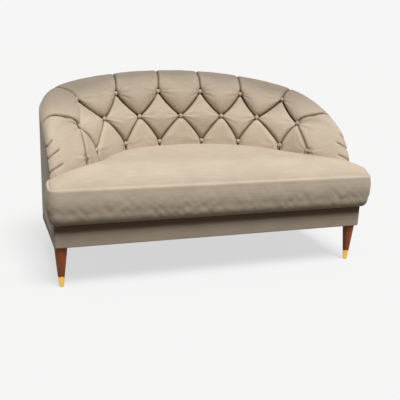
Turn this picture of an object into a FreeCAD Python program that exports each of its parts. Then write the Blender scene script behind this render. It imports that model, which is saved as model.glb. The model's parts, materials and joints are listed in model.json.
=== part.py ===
# Loveseat with a deep-buttoned tub back, a loose seat cushion and turned legs with brass caps.
# Millimetres, +Z up, +X to the sitter's left as seen from the front, -Y towards the viewer.
# The origin is on the floor, under the middle of the whole seat.
import FreeCAD, Part
import math
import os

import Sketcher
from FreeCAD import Placement, Rotation, Vector

doc = FreeCAD.newDocument("Loveseat")

# Driving sizes
SIZES = {
    # Base and legs
    "base_width": 1440,
    "base_depth": 778,
    "base_height": 103,
    "leg_height": 183,
    "leg_top_diameter": 56,
    "leg_neck_diameter": 29,
    "ferrule_height": 47,
    "ferrule_tip_diameter": 18,
    "ferrule_floor": 8,
    "spigot_diameter": 14,
    "spigot_clearance": 0.2,
    "front_leg_inset": 30,
    "front_leg_setback": 40,
    "rear_leg_inset": 104,
    "rear_leg_setback": 187,
    "bolt_diameter": 8,
    "bolt_in_leg": 35,
    "bolt_in_frame": 40,
    "bolt_clearance": 0.2,
    # Timber frame
    "corner_block_size": 80,
    "rear_block_size": 64,
    "rear_block_height": 50,
    "rail_thickness": 28,
    "side_rail_inset": 22,
    "rear_rail_inset": 278,
    "hoop_thickness": 18,
    "hoop_width": 90,
    "hoop_block_size": 44,
    "hoop_block_spread": 400,
    "upright_width": 26,
    "upright_inner": 25,
    "upright_outer": 36,
    "arm_panel_thickness": 18,
    "arm_panel_inset": 14,
    "arm_panel_back": 430,
    "top_rail_inner": 25,
    "top_rail_outer": 45,
    "top_rail_thickness": 26,
    "top_rail_front": 345,
    "frame_gap": 10,
    # Seat support
    "webbing_width": 60,
    "webbing_thickness": 2,
    "webbing_pitch": 128,
    "webbing_count": 8,
    "dust_cover_thickness": 1,
    "dust_cover_gap": 2,
    # Outside cover and front border
    "border_thickness": 12,
    "border_rounding": 5,
    "cover_thickness": 8,
    "foot_reach": 48,
    "cover_flare": 30,
    "seam_gap": 2,
    # Crest of the roll, seen from above and in height over the deck
    "crest_corner_radius": 210,
    "crest_back_radius": 3500,
    "crest_rise": 568,
    "arm_drop": 174,
    "arm_drop_power": 2.1,
    "seam_drop": 50,
    "roll_padding": 52,
    "pleat_depth": 6,
    # Rows of buttons: set in from the crest line, and their height over the deck
    "top_row_side_inset": 32,
    "top_row_back_inset": 54,
    "top_row_corner_radius": 320,
    "top_row_back_radius": 3000,
    "top_row_rise": 468,
    "top_row_droop": 31,
    "middle_row_side_inset": 102,
    "middle_row_back_inset": 94,
    "middle_row_corner_radius": 300,
    "middle_row_back_radius": 2130,
    "middle_row_rise": 348,
    "middle_row_droop": 13,
    "bottom_row_side_inset": 122,
    "bottom_row_back_inset": 102,
    "bottom_row_corner_radius": 430,
    "bottom_row_back_radius": 950,
    "bottom_row_rise": 220,
    "pad_foot_inset": 6,
    "pad_thickness": 64,
    # Places along the rows, as shares of the way from the middle of the back to the front
    "top_share_1": 0.1009,
    "top_share_2": 0.2973,
    "top_share_3": 0.4972,
    "middle_share_1": 0.2140,
    "middle_share_2": 0.3988,
    "middle_share_3": 0.6234,
    "bottom_share_1": 0.1199,
    "bottom_share_2": 0.3230,
    "bottom_share_3": 0.5597,
    "bottom_share_4": 0.7407,
    "crest_share_1": 0.0863,
    "crest_share_2": 0.2678,
    "crest_share_3": 0.5037,
    "crest_share_4": 0.7395,
    # Puffs between the buttons
    "puff": 32,
    "facets_per_edge": 5,
    "button_sides": 12,
    "button_rim": 2,
    "crease_rise": 5,
    "button_diameter": 22,
    "button_height": 7,
    "button_sink": 2,
    "button_clearance": 0.3,
    # Arm fronts: where the outer seam runs, from the border face and over the deck
    "nose_high_setback": 215,
    "nose_high_rise": 287,
    "nose_low_setback": 125,
    "nose_low_rise": 164,
    "nose_foot_setback": 80,
    "nose_lip": 14,
    # Seat cushion
    "cushion_overhang": 47,
    "cushion_side_overhang": 12,
    "cushion_edge_height": 152,
    "cushion_crown": 37,
    "cushion_corner_radius": 45,
    "cushion_clearance": 4,
    "cushion_draw_in": 5,
    "cushion_edge_rounding": 26,
    "cushion_wall": 22,
    "ear_depth": 57,
    "ear_corner": 33,
    "ear_notch": 8,
}

sheet = doc.addObject("Spreadsheet::Sheet", "Sizes")
for row, (alias, number) in enumerate(SIZES.items(), start=1):
    sheet.set(f"A{row}", alias)
    sheet.set(f"B{row}", str(number))
    sheet.setAlias(f"B{row}", alias)
doc.recompute()


def size(alias):
    """A driving size, read from its cell."""
    return float(sheet.get(alias))


def linked(formula):
    """A formula of size names as an expression on the sheet's cells."""
    words = formula.replace("(", " ( ").replace(")", " ) ").split()
    return " ".join(f"Sizes.{word}" if word in SIZES else word for word in words)


def value_of(formula):
    """The number that such a formula gives."""
    return float(sheet.evalExpression(linked(formula)))


# Levels and lines that several pieces share
FRONT = "( cushion_overhang - base_depth ) / 2"
HALF = "( base_width / 2 )"
DECK = "( leg_height + base_height )"
FRAME_FOOT = "( leg_height + dust_cover_thickness )"
HOOP_TOP = "( leg_height + dust_cover_thickness + hoop_thickness )"
SEAT_HOOP_FOOT = "( leg_height + base_height - hoop_thickness )"
RAIL_TOP = "( leg_height + base_height - hoop_thickness - webbing_thickness )"
FRAME_FRONT = f"( {FRONT} + border_thickness )"
FRAME_SIDE = f"( {HALF} - cover_thickness - frame_gap )"
front_y = value_of(FRONT)
deck_z = value_of(DECK)
frame_front_y = value_of(FRAME_FRONT)
frame_foot_z = value_of(FRAME_FOOT)
hoop_top_z = value_of(HOOP_TOP)
seat_hoop_foot_z = value_of(SEAT_HOOP_FOOT)

sub_parts = []


def sub_part(obj, label):
    """Name a finished object and put it on the list of pieces."""
    obj.Label = label
    sub_parts.append(obj)
    return obj


def bind(obj, **formulas):
    """Tie properties of an object to the sheet; a double underscore stands for a dot."""
    for name, formula in formulas.items():
        obj.setExpression(name.replace("__", "."), linked(formula))


def box(label, x, y, z):
    """A board between two formulas along each axis."""
    board = doc.addObject("Part::Box", label)
    bind(board, Length=f"( {x[1]} ) - ( {x[0]} )")
    bind(board, Width=f"( {y[1]} ) - ( {y[0]} )")
    bind(board, Height=f"( {z[1]} ) - ( {z[0]} )")
    bind(board, Placement__Base__x=x[0], Placement__Base__y=y[0], Placement__Base__z=z[0])
    return board


def cylinder(name, radius, height, x, y, z):
    """An upright round bar or hole."""
    bar = doc.addObject("Part::Cylinder", name)
    bind(bar, Radius=radius, Height=height)
    bind(bar, Placement__Base__x=x, Placement__Base__y=y, Placement__Base__z=z)
    return bar


def cut(name, base, tool):
    """The base with the tool's room taken out of it."""
    result = doc.addObject("Part::Cut", name)
    result.Base = base
    result.Tool = tool
    return result


def group(name, members):
    """Like pieces in one node, each still a solid of its own."""
    result = doc.addObject("Part::Compound", name)
    result.Links = members
    return result


def formed(label, shape):
    """A sub-part whose curved form is set directly."""
    obj = doc.addObject("Part::Feature", label)
    obj.Shape = shape
    obj.Placement = Placement()
    return sub_part(obj, label)


def mirrored(formula, side):
    """A formula on the right, or its mirror image on the left."""
    return formula if side > 0 else f"0 - ( {formula} )"


def span(low, high, side):
    """A stretch along X on the right, or its mirror image on the left."""
    return (low, high) if side > 0 else (mirrored(high, side), mirrored(low, side))


SIDES = {"left": -1, "right": 1}


# The tub in plan: a straight side, a corner arc and a shallow back arc, tangent to each other
class TubCurve:
    def __init__(self, half_width, back_y, corner_radius, back_radius):
        self.half_width = half_width
        self.back_y = back_y
        self.corner_radius = corner_radius
        self.back_radius = back_radius
        self.corner_x = half_width - corner_radius
        reach = math.sqrt((back_radius - corner_radius) ** 2 - self.corner_x ** 2)
        self.back_centre_y = back_y - back_radius
        self.corner_y = self.back_centre_y + reach
        self.turn = math.atan2(self.corner_x, reach)
        self.back_run = back_radius * self.turn
        self.side_run = self.back_run + corner_radius * (math.pi / 2 - self.turn)

    def offset(self, distance):
        """The parallel curve, outwards for a positive distance."""
        return TubCurve(self.half_width + distance, self.back_y + distance,
                        self.corner_radius + distance, self.back_radius + distance)

    def at(self, run):
        """Place and outward direction at a run along the right half from the middle of the back."""
        if run > self.side_run:
            return Vector(self.half_width, self.corner_y - (run - self.side_run), 0), Vector(1, 0, 0)
        if run > self.back_run:
            angle = self.turn + (run - self.back_run) / self.corner_radius
            centre = Vector(self.corner_x, self.corner_y, 0)
            radius = self.corner_radius
        else:
            angle = run / self.back_radius
            centre = Vector(0, self.back_centre_y, 0)
            radius = self.back_radius
        outward = Vector(math.sin(angle), math.cos(angle), 0)
        return centre + outward * radius, outward

    def run_at_y(self, y):
        """The run at which the straight side reaches a depth."""
        return self.side_run + self.corner_y - y

    def edges(self, end_y, z):
        """Edges from the right end, round the back, to the left end."""
        side_start = Vector(self.half_width, self.corner_y, z)
        middle = self.at((self.back_run + self.side_run) / 2)[0] + Vector(0, 0, z)
        back_end = self.at(self.back_run)[0] + Vector(0, 0, z)
        back = Vector(0, self.back_y, z)
        right = [Part.LineSegment(Vector(self.half_width, end_y, z), side_start).toShape(),
                 Part.Arc(side_start, middle, back_end).toShape()]
        left = [Part.LineSegment(flip(side_start), flip(Vector(self.half_width, end_y, z))).toShape(),
                Part.Arc(flip(back_end), flip(middle), flip(side_start)).toShape()]
        return right + [Part.Arc(back_end, back, flip(back_end)).toShape()] + left[::-1]


def flip(point):
    """The mirror image of a point across the middle plane."""
    return Vector(-point.x, point.y, point.z)


def face_of(edges):
    """A flat face inside a closed set of edges."""
    return Part.Face(Part.Wire(Part.__sortEdges__(edges)))


def closing_line(curve_a, curve_b, end_y, z, side):
    """The straight end of a band between two plan curves."""
    return Part.LineSegment(Vector(side * curve_a.half_width, end_y, z),
                            Vector(side * curve_b.half_width, end_y, z)).toShape()


def band(outer, inner, end_y, low_z, high_z):
    """A U-shaped plate between two plan curves."""
    edges = outer.edges(end_y, low_z) + inner.edges(end_y, low_z)
    edges += [closing_line(outer, inner, end_y, low_z, side) for side in (-1, 1)]
    return face_of(edges).extrude(Vector(0, 0, high_z - low_z))


def plate(outer, end_y, low_z, high_z):
    """A D-shaped plate inside a plan curve."""
    right = Vector(outer.half_width, end_y, low_z)
    edges = outer.edges(end_y, low_z) + [Part.LineSegment(flip(right), right).toShape()]
    return face_of(edges).extrude(Vector(0, 0, high_z - low_z))


crest_half_width = size("base_width") / 2 - size("foot_reach")
crest_back_y = front_y + size("base_depth") - size("foot_reach") - size("cover_flare")
crest = TubCurve(crest_half_width, crest_back_y, size("crest_corner_radius"), size("crest_back_radius"))


def row_curve(row):
    """The plan curve that a row of buttons lies on, set in from the crest."""
    return TubCurve(crest_half_width - size(f"{row}_row_side_inset"),
                    crest_back_y - size(f"{row}_row_back_inset"),
                    size(f"{row}_row_corner_radius"), size(f"{row}_row_back_radius"))


top_row = row_curve("top")
middle_row = row_curve("middle")
bottom_row = row_curve("bottom")
pad_foot = bottom_row.offset(-size("pad_foot_inset"))
frame_line = crest.offset(size("foot_reach") - size("cover_thickness") - size("frame_gap"))


def crest_z(run):
    """Height of the roll's crest: level across the back, then sweeping down to the arms."""
    arm_run = size("crest_share_4") * crest.run_at_y(front_y)
    fall = size("arm_drop") * (run / arm_run) ** size("arm_drop_power")
    return deck_z + size("crest_rise") - fall


def cover_reach(z):
    """How far the outside cover stands out from the crest line at a height."""
    full_height = size("base_height") + size("crest_rise") - size("seam_drop")
    return size("foot_reach") + size("cover_flare") * (z - size("leg_height")) / full_height


# Legs, caps and their fixings
def origin_plane(body, role):
    """One of a body's own origin planes."""
    return next(plane for plane in body.Origin.OriginFeatures if plane.Role == role)


def turned(name, corners):
    """A body turned about Z from a closed profile of radius and height formulas."""
    body = doc.addObject("PartDesign::Body", name)
    sketch = body.newObject("Sketcher::SketchObject", f"{name}_profile")
    sketch.AttachmentSupport = (origin_plane(body, "XZ_Plane"), [""])
    sketch.MapMode = "FlatFace"
    points = [Vector(value_of(radius), value_of(height), 0) for radius, height in corners]
    for index, point in enumerate(points):
        sketch.addGeometry(Part.LineSegment(point, points[(index + 1) % len(points)]), False)
    for index in range(len(points)):
        following = (index + 1) % len(points)
        sketch.addConstraint(Sketcher.Constraint("Coincident", index, 2, following, 1))
    for index, (radius, height) in enumerate(corners):
        for kind, formula, axis in (("DistanceX", radius, -2), ("DistanceY", height, -1)):
            if formula == "0":
                sketch.addConstraint(Sketcher.Constraint("PointOnObject", index, 1, axis))
                continue
            number = sketch.addConstraint(Sketcher.Constraint(kind, -1, 1, index, 1, value_of(formula)))
            sketch.setExpression(f"Constraints[{number}]", linked(formula))
    turning = body.newObject("PartDesign::Revolution", f"{name}_turning")
    turning.Profile = sketch
    turning.ReferenceAxis = (sketch, ["V_Axis"])
    turning.Angle = 360
    return body


LEG_PROFILE = [
    ("0", "ferrule_floor"),
    ("spigot_diameter / 2", "ferrule_floor"),
    ("spigot_diameter / 2", "ferrule_height"),
    ("leg_neck_diameter / 2", "ferrule_height"),
    ("leg_top_diameter / 2", FRAME_FOOT),
    ("bolt_diameter / 2 + bolt_clearance", FRAME_FOOT),
    ("bolt_diameter / 2 + bolt_clearance", f"{FRAME_FOOT} - bolt_in_leg"),
    ("0", f"{FRAME_FOOT} - bolt_in_leg"),
]
FERRULE_PROFILE = [
    ("0", "0"),
    ("ferrule_tip_diameter / 2", "0"),
    ("leg_neck_diameter / 2", "ferrule_height"),
    ("spigot_diameter / 2 + spigot_clearance", "ferrule_height"),
    ("spigot_diameter / 2 + spigot_clearance", "ferrule_floor"),
    ("0", "ferrule_floor"),
]

FRONT_LEG_X = f"{HALF} - front_leg_inset"
FRONT_LEG_Y = f"{FRONT} + front_leg_setback"
REAR_LEG_X = f"{HALF} - rear_leg_inset"
REAR_LEG_Y = f"{FRONT} + base_depth - rear_leg_setback"


def leg_places():
    """Name and centre of each leg."""
    for side_name, side in SIDES.items():
        yield f"front_{side_name}", mirrored(FRONT_LEG_X, side), FRONT_LEG_Y
        yield f"rear_{side_name}", mirrored(REAR_LEG_X, side), REAR_LEG_Y


bolts = []
bolt_rooms = {}
pairs = {"legs_front": [], "legs_rear": [], "ferrules_front": [], "ferrules_rear": []}
for corner, leg_x, leg_y in leg_places():
    for name, outline in (("leg", LEG_PROFILE), ("ferrule", FERRULE_PROFILE)):
        body = turned(f"{name}_{corner}", outline)
        bind(body, Placement__Base__x=leg_x, Placement__Base__y=leg_y)
        pairs[f"{name}s_{corner.split('_')[0]}"].append(body)
    bolts.append(cylinder(f"bolt_{corner}", "bolt_diameter / 2", "bolt_in_leg + bolt_in_frame", leg_x, leg_y,
                          f"{FRAME_FOOT} - bolt_in_leg"))
    bolt_rooms[corner] = cylinder(f"bolt_room_{corner}", "bolt_diameter / 2 + bolt_clearance",
                                  "bolt_in_frame + bolt_clearance", leg_x, leg_y, FRAME_FOOT)
for name, pair in pairs.items():
    sub_part(group(f"{name}_pair", pair), name)
sub_part(group("hanger_bolt_group", bolts), "hanger_bolts")

# Base frame
BLOCK_INNER = f"{FRAME_SIDE} - corner_block_size"
BLOCK_BACK = f"{FRAME_FRONT} + corner_block_size"
RAIL_OUTER = f"{FRAME_SIDE} - side_rail_inset"
RAIL_INNER = f"{RAIL_OUTER} - rail_thickness"
REAR_RAIL_FRONT = f"{FRONT} + base_depth - rear_rail_inset"
REAR_RAIL_BACK = f"{REAR_RAIL_FRONT} + rail_thickness"
for side_name, side in SIDES.items():
    block = box(f"block_blank_{side_name}", span(BLOCK_INNER, FRAME_SIDE, side), (FRAME_FRONT, BLOCK_BACK),
                (FRAME_FOOT, SEAT_HOOP_FOOT))
    block = cut(f"block_{side_name}", block, bolt_rooms[f"front_{side_name}"])
    sub_part(block, f"corner_block_front_{side_name}")
    rail = box(f"rail_{side_name}", span(RAIL_INNER, RAIL_OUTER, side), (BLOCK_BACK, REAR_RAIL_BACK),
               (HOOP_TOP, SEAT_HOOP_FOOT))
    sub_part(rail, f"side_rail_{side_name}")
sub_part(box("rail_front", (f"0 - ( {BLOCK_INNER} )", BLOCK_INNER),
             (FRAME_FRONT, f"{FRAME_FRONT} + rail_thickness"), (FRAME_FOOT, RAIL_TOP)), "front_rail")
sub_part(box("rail_rear", (f"0 - ( {RAIL_INNER} )", RAIL_INNER), (REAR_RAIL_FRONT, REAR_RAIL_BACK),
             (HOOP_TOP, RAIL_TOP)), "rear_rail")
sub_part(box("rail_centre", ("0 - rail_thickness / 2", "rail_thickness / 2"),
             (f"{FRAME_FRONT} + rail_thickness", REAR_RAIL_FRONT),
             (HOOP_TOP, f"{RAIL_TOP} - rail_thickness")), "centre_rail")

# Lower hoop, drilled for the rear bolts, and the rear blocks that stand on it
block_back_y = value_of(BLOCK_BACK)
lower_hoop = band(frame_line, frame_line.offset(-size("hoop_width")), block_back_y, frame_foot_z, hoop_top_z)
doc.recompute()
for side_name, side in SIDES.items():
    lower_hoop = lower_hoop.cut(bolt_rooms[f"rear_{side_name}"].Shape)
formed("lower_hoop", lower_hoop)
corner_outward = crest.at((crest.back_run + crest.side_run) / 2)[1]
for side_name, side in SIDES.items():
    half = size("rear_block_size") / 2
    block = Part.makeBox(2 * half, 2 * half, size("rear_block_height"), Vector(-half, -half, 0))
    turn = math.degrees(math.atan2(corner_outward.x * side, corner_outward.y))
    block.Placement = Placement(Vector(side * value_of(REAR_LEG_X), value_of(REAR_LEG_Y), hoop_top_z),
                                Rotation(Vector(0, 0, 1), -turn))
    formed(f"corner_block_rear_{side_name}", block.cut(bolt_rooms[f"rear_{side_name}"].Shape))

# Seat hoop: a broad plywood plate that carries the pad and the arms
deck_line = pad_foot.offset(-size("pad_foot_inset"))
formed("seat_hoop", band(frame_line, deck_line, frame_front_y, seat_hoop_foot_z, deck_z))
for name, spread in (("left", -1), ("centre", 0), ("right", 1)):
    place, outward = crest.at(size("hoop_block_spread") * abs(spread))
    half = size("hoop_block_size") / 2
    block = Part.makeBox(2 * half, 2 * half, seat_hoop_foot_z - hoop_top_z, Vector(-half, -half, 0))
    turn = math.degrees(math.atan2(outward.x * spread, outward.y))
    block_place = Placement(Vector(spread * place.x, place.y, hoop_top_z), Rotation(Vector(0, 0, 1), -turn))
    formed(f"hoop_block_{name}", block.transformed(block_place.toMatrix(), True))

# Webbing, deck and dust cover
straps = []
strap_count = int(size("webbing_count"))
for index in range(strap_count):
    middle = f"( {index - (strap_count - 1) / 2} * webbing_pitch )"
    straps.append(box(f"strap_{index + 1}", (f"{middle} - webbing_width / 2", f"{middle} + webbing_width / 2"),
                      (FRAME_FRONT, REAR_RAIL_BACK), (RAIL_TOP, SEAT_HOOP_FOOT)))
sub_part(group("strap_group", straps), "seat_webbing")
formed("seat_deck", plate(deck_line, frame_front_y, seat_hoop_foot_z, deck_z))
dust_line = frame_line.offset(-size("dust_cover_gap"))
dust_cover = plate(dust_line, frame_front_y + size("dust_cover_gap"), size("leg_height"), frame_foot_z)
for corner, leg_x, leg_y in leg_places():
    place = Vector(value_of(leg_x), value_of(leg_y), size("leg_height"))
    hole_radius = size("leg_top_diameter") / 2 + size("dust_cover_gap")
    dust_cover = dust_cover.cut(Part.makeCylinder(hole_radius, size("dust_cover_thickness"), place))
formed("dust_cover", max(dust_cover.Solids, key=lambda solid: solid.Volume))

# Front border: a padded panel with soft edges
border = box("border_blank", (f"0 - {HALF}", HALF), (FRONT, FRAME_FRONT), ("leg_height", DECK))
doc.recompute()
soft_border = doc.addObject("Part::Fillet", "border_soft")
soft_border.Base = border
front_edges = [number for number, edge in enumerate(border.Shape.Edges, start=1)
               if abs(edge.BoundBox.YMax - front_y) < 0.001]
soft_border.Edges = [(number, size("border_rounding"), size("border_rounding")) for number in front_edges]
sub_part(soft_border, "front_border")


# Curved pieces are stitched from patches whose borders are cubic curves shared by neighbours
def cubic(start, end, leave, arrive):
    """The four poles of a curve that leaves along one vector and arrives along another."""
    return [start, start + leave, end - arrive, end]


def straight(start, end):
    """The four poles of a straight line."""
    return cubic(start, end, (end - start) / 3, (end - start) / 3)


def along(path, start, end):
    """The four poles that follow a path of one number between two of its stations."""
    step = (end - start) / 3
    nudge = (end - start) / 100
    leave = (path(start + nudge) - path(start - nudge)) / (2 * nudge) * step
    arrive = (path(end + nudge) - path(end - nudge)) / (2 * nudge) * step
    return cubic(path(start), path(end), leave, arrive)


def quilt(low, right, high, left, swell=None):
    """A net of poles inside four edges: low and high run one way, left and right the other.
    Its inner poles blend the edges, and swell lifts them, by their place in the net."""
    net = [[None] * 4 for _ in range(4)]
    for i in range(4):
        for j in range(4):
            u, v = i / 3, j / 3
            ruled = low[i] * (1 - v) + high[i] * v + left[j] * (1 - u) + right[j] * u
            corners = (low[0] * (1 - u) + low[3] * u) * (1 - v) + (high[0] * (1 - u) + high[3] * u) * v
            net[i][j] = ruled - corners
            if swell and 0 < i < 3 and 0 < j < 3:
                net[i][j] = net[i][j] + swell(i, j)
    return net


def on_cubic(poles, share):
    """The point at a share of the way along a cubic curve."""
    rest = 1 - share
    weights = (rest ** 3, 3 * rest ** 2 * share, 3 * rest * share ** 2, share ** 3)
    return sum((pole * weight for pole, weight in zip(poles, weights)), Vector())


def steps():
    """Even shares along an edge of a patch, the same for every patch so that neighbours meet."""
    count = int(size("facets_per_edge"))
    return [number / count for number in range(count + 1)]


def facets(rows):
    """Flat triangles over a grid of points."""
    faces = []
    for near, far in zip(rows, rows[1:]):
        for a, b, c, d in zip(near, near[1:], far[1:], far):
            faces += [Part.Face(Part.makePolygon([a, b, c, a])), Part.Face(Part.makePolygon([a, c, d, a]))]
    return faces


def padded(net):
    """A swelling patch in flat facets, small enough to read as soft."""
    return facets([[on_cubic([on_cubic(row, v) for row in net], u) for v in steps()] for u in steps()])


def lining(edge_a, edge_b):
    """A hidden strip in flat facets between two edges that run the same way."""
    return facets([[on_cubic(edge_a, u) for u in steps()], [on_cubic(edge_b, u) for u in steps()]])


def tube(lines):
    """The faces of a bar whose long edges are given in order round it."""
    return [face for a, b in zip(lines, lines[1:] + lines[:1]) for face in lining(a, b)]


def flat_end(edges):
    """A flat face inside edges that follow each other, cut at the same steps as their neighbours."""
    points = []
    for poles, is_curved in edges:
        points += [on_cubic(poles, u) for u in steps()[:-1]] if is_curved else [poles[0]]
    return Part.Face(Part.makePolygon(points + points[:1]))


def stitched(faces):
    """One closed solid from faces that share their borders."""
    shell = Part.makeShell(faces)
    shell.sewShape()
    solid = Part.Solid(Part.Shell(shell.Faces))
    if solid.Volume < 0:
        solid.reverse()
    return solid


def both_halves(faces):
    """Faces of the right half with their mirror images."""
    return faces + [face.mirror(Vector(), Vector(1, 0, 0)) for face in faces]


# Stations of the inside back: half columns 0 to 3, with the arm front beyond
UP = Vector(0, 0, 1)


def halfway(runs, station):
    """The run of a station, between the known ones where it has no button of its own."""
    if station in runs:
        return runs[station]
    return (runs[station - 0.5] + runs[station + 0.5]) / 2


def runs_along(curve, name, stations):
    """Runs of the stations that carry a button or a pleat, from the middle of the back."""
    length = curve.run_at_y(front_y)
    runs = {station: size(f"{name}_{number}") * length for number, station in enumerate(stations, start=1)}
    return {0: 0, **runs}


TOP_RUNS = runs_along(top_row, "top_share", (0.5, 1.5, 2.5))
MIDDLE_RUNS = runs_along(middle_row, "middle_share", (1, 2, 3))
BOTTOM_RUNS = runs_along(bottom_row, "bottom_share", (0.5, 1.5, 2.5, 3.5))
CREST_RUNS = runs_along(crest, "crest_share", (0.5, 1.5, 2.5, 3))
STATIONS = [0, 0.5, 1, 1.5, 2, 2.5, 3]
PLEATS = [0.5, 1.5, 2.5, 3]

# How lines over the padding bend, as shares of their rise, reach or drop
ROLL_LEAVE_SHARE = 0.42
ROLL_ARRIVE_SHARE = 0.62
ROLL_FALL_SHARE = 0.6
PLEAT_SPREAD_SHARE = 0.2
WALL_HANDLE_SHARE = 0.3
WALL_RETURN_SHARE = 0.25

# How far patches and folds swell, as shares of the puff
DIAMOND_SWELL_SHARE = 1.45
UPPER_BELLY_SHARE = 1.5
LOWER_BELLY_SHARE = 1.6
CREST_FOLD_SWELL_SHARE = 0.15
FOOT_FOLD_SWELL_SHARE = 0.1
HALF_CELL_SHARES = {1: 0.42, 2: 0.5}
SWELL_BY_BUTTONS_SHARE = 1.3
SWELL_BY_CREST_SHARE = 0.7
SWELL_BY_FOOT_SHARE = 0.5
ARM_CELL_SWELL_SHARE = 1.3
ARM_CELL_LIFT_SHARE = 0.4
ARM_SWELL_SHARES = Vector(-0.35, -0.75, 0.5)
ARM_SWELL_HIGH_SHARE = 0.8
ARM_SWELL_LOW_SHARE = 0.6
ARM_SWELL_FOOT_SHARE = 0.4

# How lines leave the inside face and reach the seam at the arm front, as shares of its round
SEAM_LEAVE_SHARE = 1.33
NOSE_HIGH_LEAVE_SHARE = Vector(0.67, -0.44, 0.44)
NOSE_HIGH_ARRIVE_SHARE = Vector(0, 0.7, -0.7)
NOSE_LOW_LEAVE_SHARE = Vector(0.78, -0.89, 0.09)
NOSE_LOW_ARRIVE_SHARE = Vector(0, 0.95, 0)
NOSE_FOOT_LEAVE_SHARE = Vector(0.64, -0.73, 0)
NOSE_FOOT_ARRIVE_SHARE = Vector(0, 0.8, 0)


def row_point(curve, run, rise, droop, last_run):
    """A place on a row of buttons, with the inward direction there."""
    place, outward = curve.at(run)
    z = deck_z + rise - droop * (run / last_run) ** 2
    return place + UP * z, outward * -1


def top_point(station):
    return row_point(top_row, halfway(TOP_RUNS, station), size("top_row_rise"),
                     size("top_row_droop"), TOP_RUNS[2.5])


def middle_point(station):
    return row_point(middle_row, halfway(MIDDLE_RUNS, station), size("middle_row_rise"),
                     size("middle_row_droop"), MIDDLE_RUNS[3])


def bottom_point(station):
    return row_point(bottom_row, halfway(BOTTOM_RUNS, station), size("bottom_row_rise"), 0, BOTTOM_RUNS[3.5])


def foot_path(run):
    return pad_foot.at(abs(run))[0] + UP * deck_z if run >= 0 else flip(foot_path(-run))


def pad_back_path(run):
    """The hidden foot of the pad, square behind its visible foot."""
    if run < 0:
        return flip(pad_back_path(-run))
    place, outward = pad_foot.at(run)
    return place + outward * size("pad_thickness") + UP * deck_z


def roll_path(reach, drop):
    """A line along the roll, a reach outside the crest line and a drop below its crest."""
    def path(run):
        place, outward = crest.at(abs(run))
        point = place + outward * reach + UP * (crest_z(abs(run)) - drop)
        return point if run >= 0 else flip(point)
    return path


def seam_path(run):
    """The outer seam, where the inside back meets the outside cover."""
    z = crest_z(abs(run)) - size("seam_drop")
    place, outward = crest.at(abs(run))
    point = place + outward * cover_reach(z) + UP * z
    return point if run >= 0 else flip(point)


crest_path = roll_path(0, 0)
lip_path = roll_path(size("top_rail_outer") + size("seam_gap"), size("roll_padding"))
rail_path = roll_path(-size("top_rail_inner") - size("seam_gap"), size("roll_padding"))
CREST_AT = {station: halfway(CREST_RUNS, station) for station in STATIONS}
FOOT_AT = {station: halfway(BOTTOM_RUNS, station) for station in STATIONS + [3.5]}


def crease(start, end):
    """A valley between two buttons, a little prouder half way."""
    third = (end[0] - start[0]) / 3
    lift = (start[1] + end[1]).normalize() * size("crease_rise")
    return cubic(start[0], end[0], third + lift, third - lift)


def crest_point(station):
    """A place on the crest, lower where a pleat crosses it."""
    return crest_path(CREST_AT[station]) - UP * (size("pleat_depth") if station in PLEATS else 0)


def over_roll(low, station, swell):
    """From the wall up to the crest, arriving level; a swell bellies it towards the sitter."""
    outward = crest.at(CREST_AT[station])[1]
    high = crest_point(station)
    rise = high.z - low.z
    level = max((high - low).dot(outward), rise / 2)
    leave = UP * (rise * ROLL_LEAVE_SHARE) - outward * swell
    arrive = outward * (level * ROLL_ARRIVE_SHARE + swell / 2)
    return cubic(low, high, leave, arrive)


def down_roll(station):
    """From the crest out and down to the seam."""
    outward = crest.at(CREST_AT[station])[1]
    low = seam_path(CREST_AT[station])
    high = crest_point(station)
    reach = (low - high).dot(outward)
    return cubic(high, low, outward * reach * ROLL_FALL_SHARE, UP * -(high.z - low.z) * ROLL_FALL_SHARE)


def crest_edge(start, end):
    """The crest between two stations, dipping at the pleats."""
    poles = along(crest_path, CREST_AT[start], CREST_AT[end])
    dips = [size("pleat_depth") if station in PLEATS else 0 for station in (start, start, end, end)]
    dips[1] *= PLEAT_SPREAD_SHARE
    dips[2] *= PLEAT_SPREAD_SHARE
    return [pole - UP * dip for pole, dip in zip(poles, dips)]


M = {station: middle_point(station) for station in (0, 1, 2, 3)}
T = {station: top_point(station) for station in (0.5, 1.5, 2.5)}
L = {station: bottom_point(station) for station in (0.5, 1.5, 2.5, 3.5)}
puff = size("puff")


def down_wall(top, station, swell):
    """From a button down to the foot of the pad."""
    point, inward = top
    foot = foot_path(FOOT_AT[station])
    drop = point.z - foot.z
    leave = UP * (-drop * WALL_HANDLE_SHARE) + inward * swell
    arrive = UP * (-drop * WALL_HANDLE_SHARE) - inward * (swell * WALL_RETURN_SHARE)
    return cubic(point, foot, leave, arrive)


def smooth_line(points):
    """Edges of a smooth line through points, from the first to the last."""
    slopes = [(points[min(n + 1, len(points) - 1)] - points[max(n - 1, 0)]) / 2 for n in range(len(points))]
    return [cubic(points[n], points[n + 1], slopes[n] / 3, slopes[n + 1] / 3) for n in range(len(points) - 1)]


# Arm front: outer seam points, hidden lip and hidden inner line on a flat plane
def side_x(z):
    return crest_half_width + cover_reach(z)


def nose_point(setback, rise):
    z = deck_z + rise
    return Vector(side_x(z), front_y + setback, z)


nose_high = nose_point(size("nose_high_setback"), size("nose_high_rise"))
nose_low = nose_point(size("nose_low_setback"), size("nose_low_rise"))
nose_foot = nose_point(size("nose_foot_setback"), 0)
arm_seam = smooth_line([seam_path(CREST_AT[2.5]), seam_path(CREST_AT[3]), nose_high, nose_low, nose_foot])[1:]
nose_round = size("nose_high_setback") - size("nose_low_setback")
seam_ahead = along(seam_path, CREST_AT[3], CREST_AT[3] + nose_round)
arm_seam[0][1] = seam_ahead[0] + (seam_ahead[1] - seam_ahead[0]) * SEAM_LEAVE_SHARE


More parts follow.
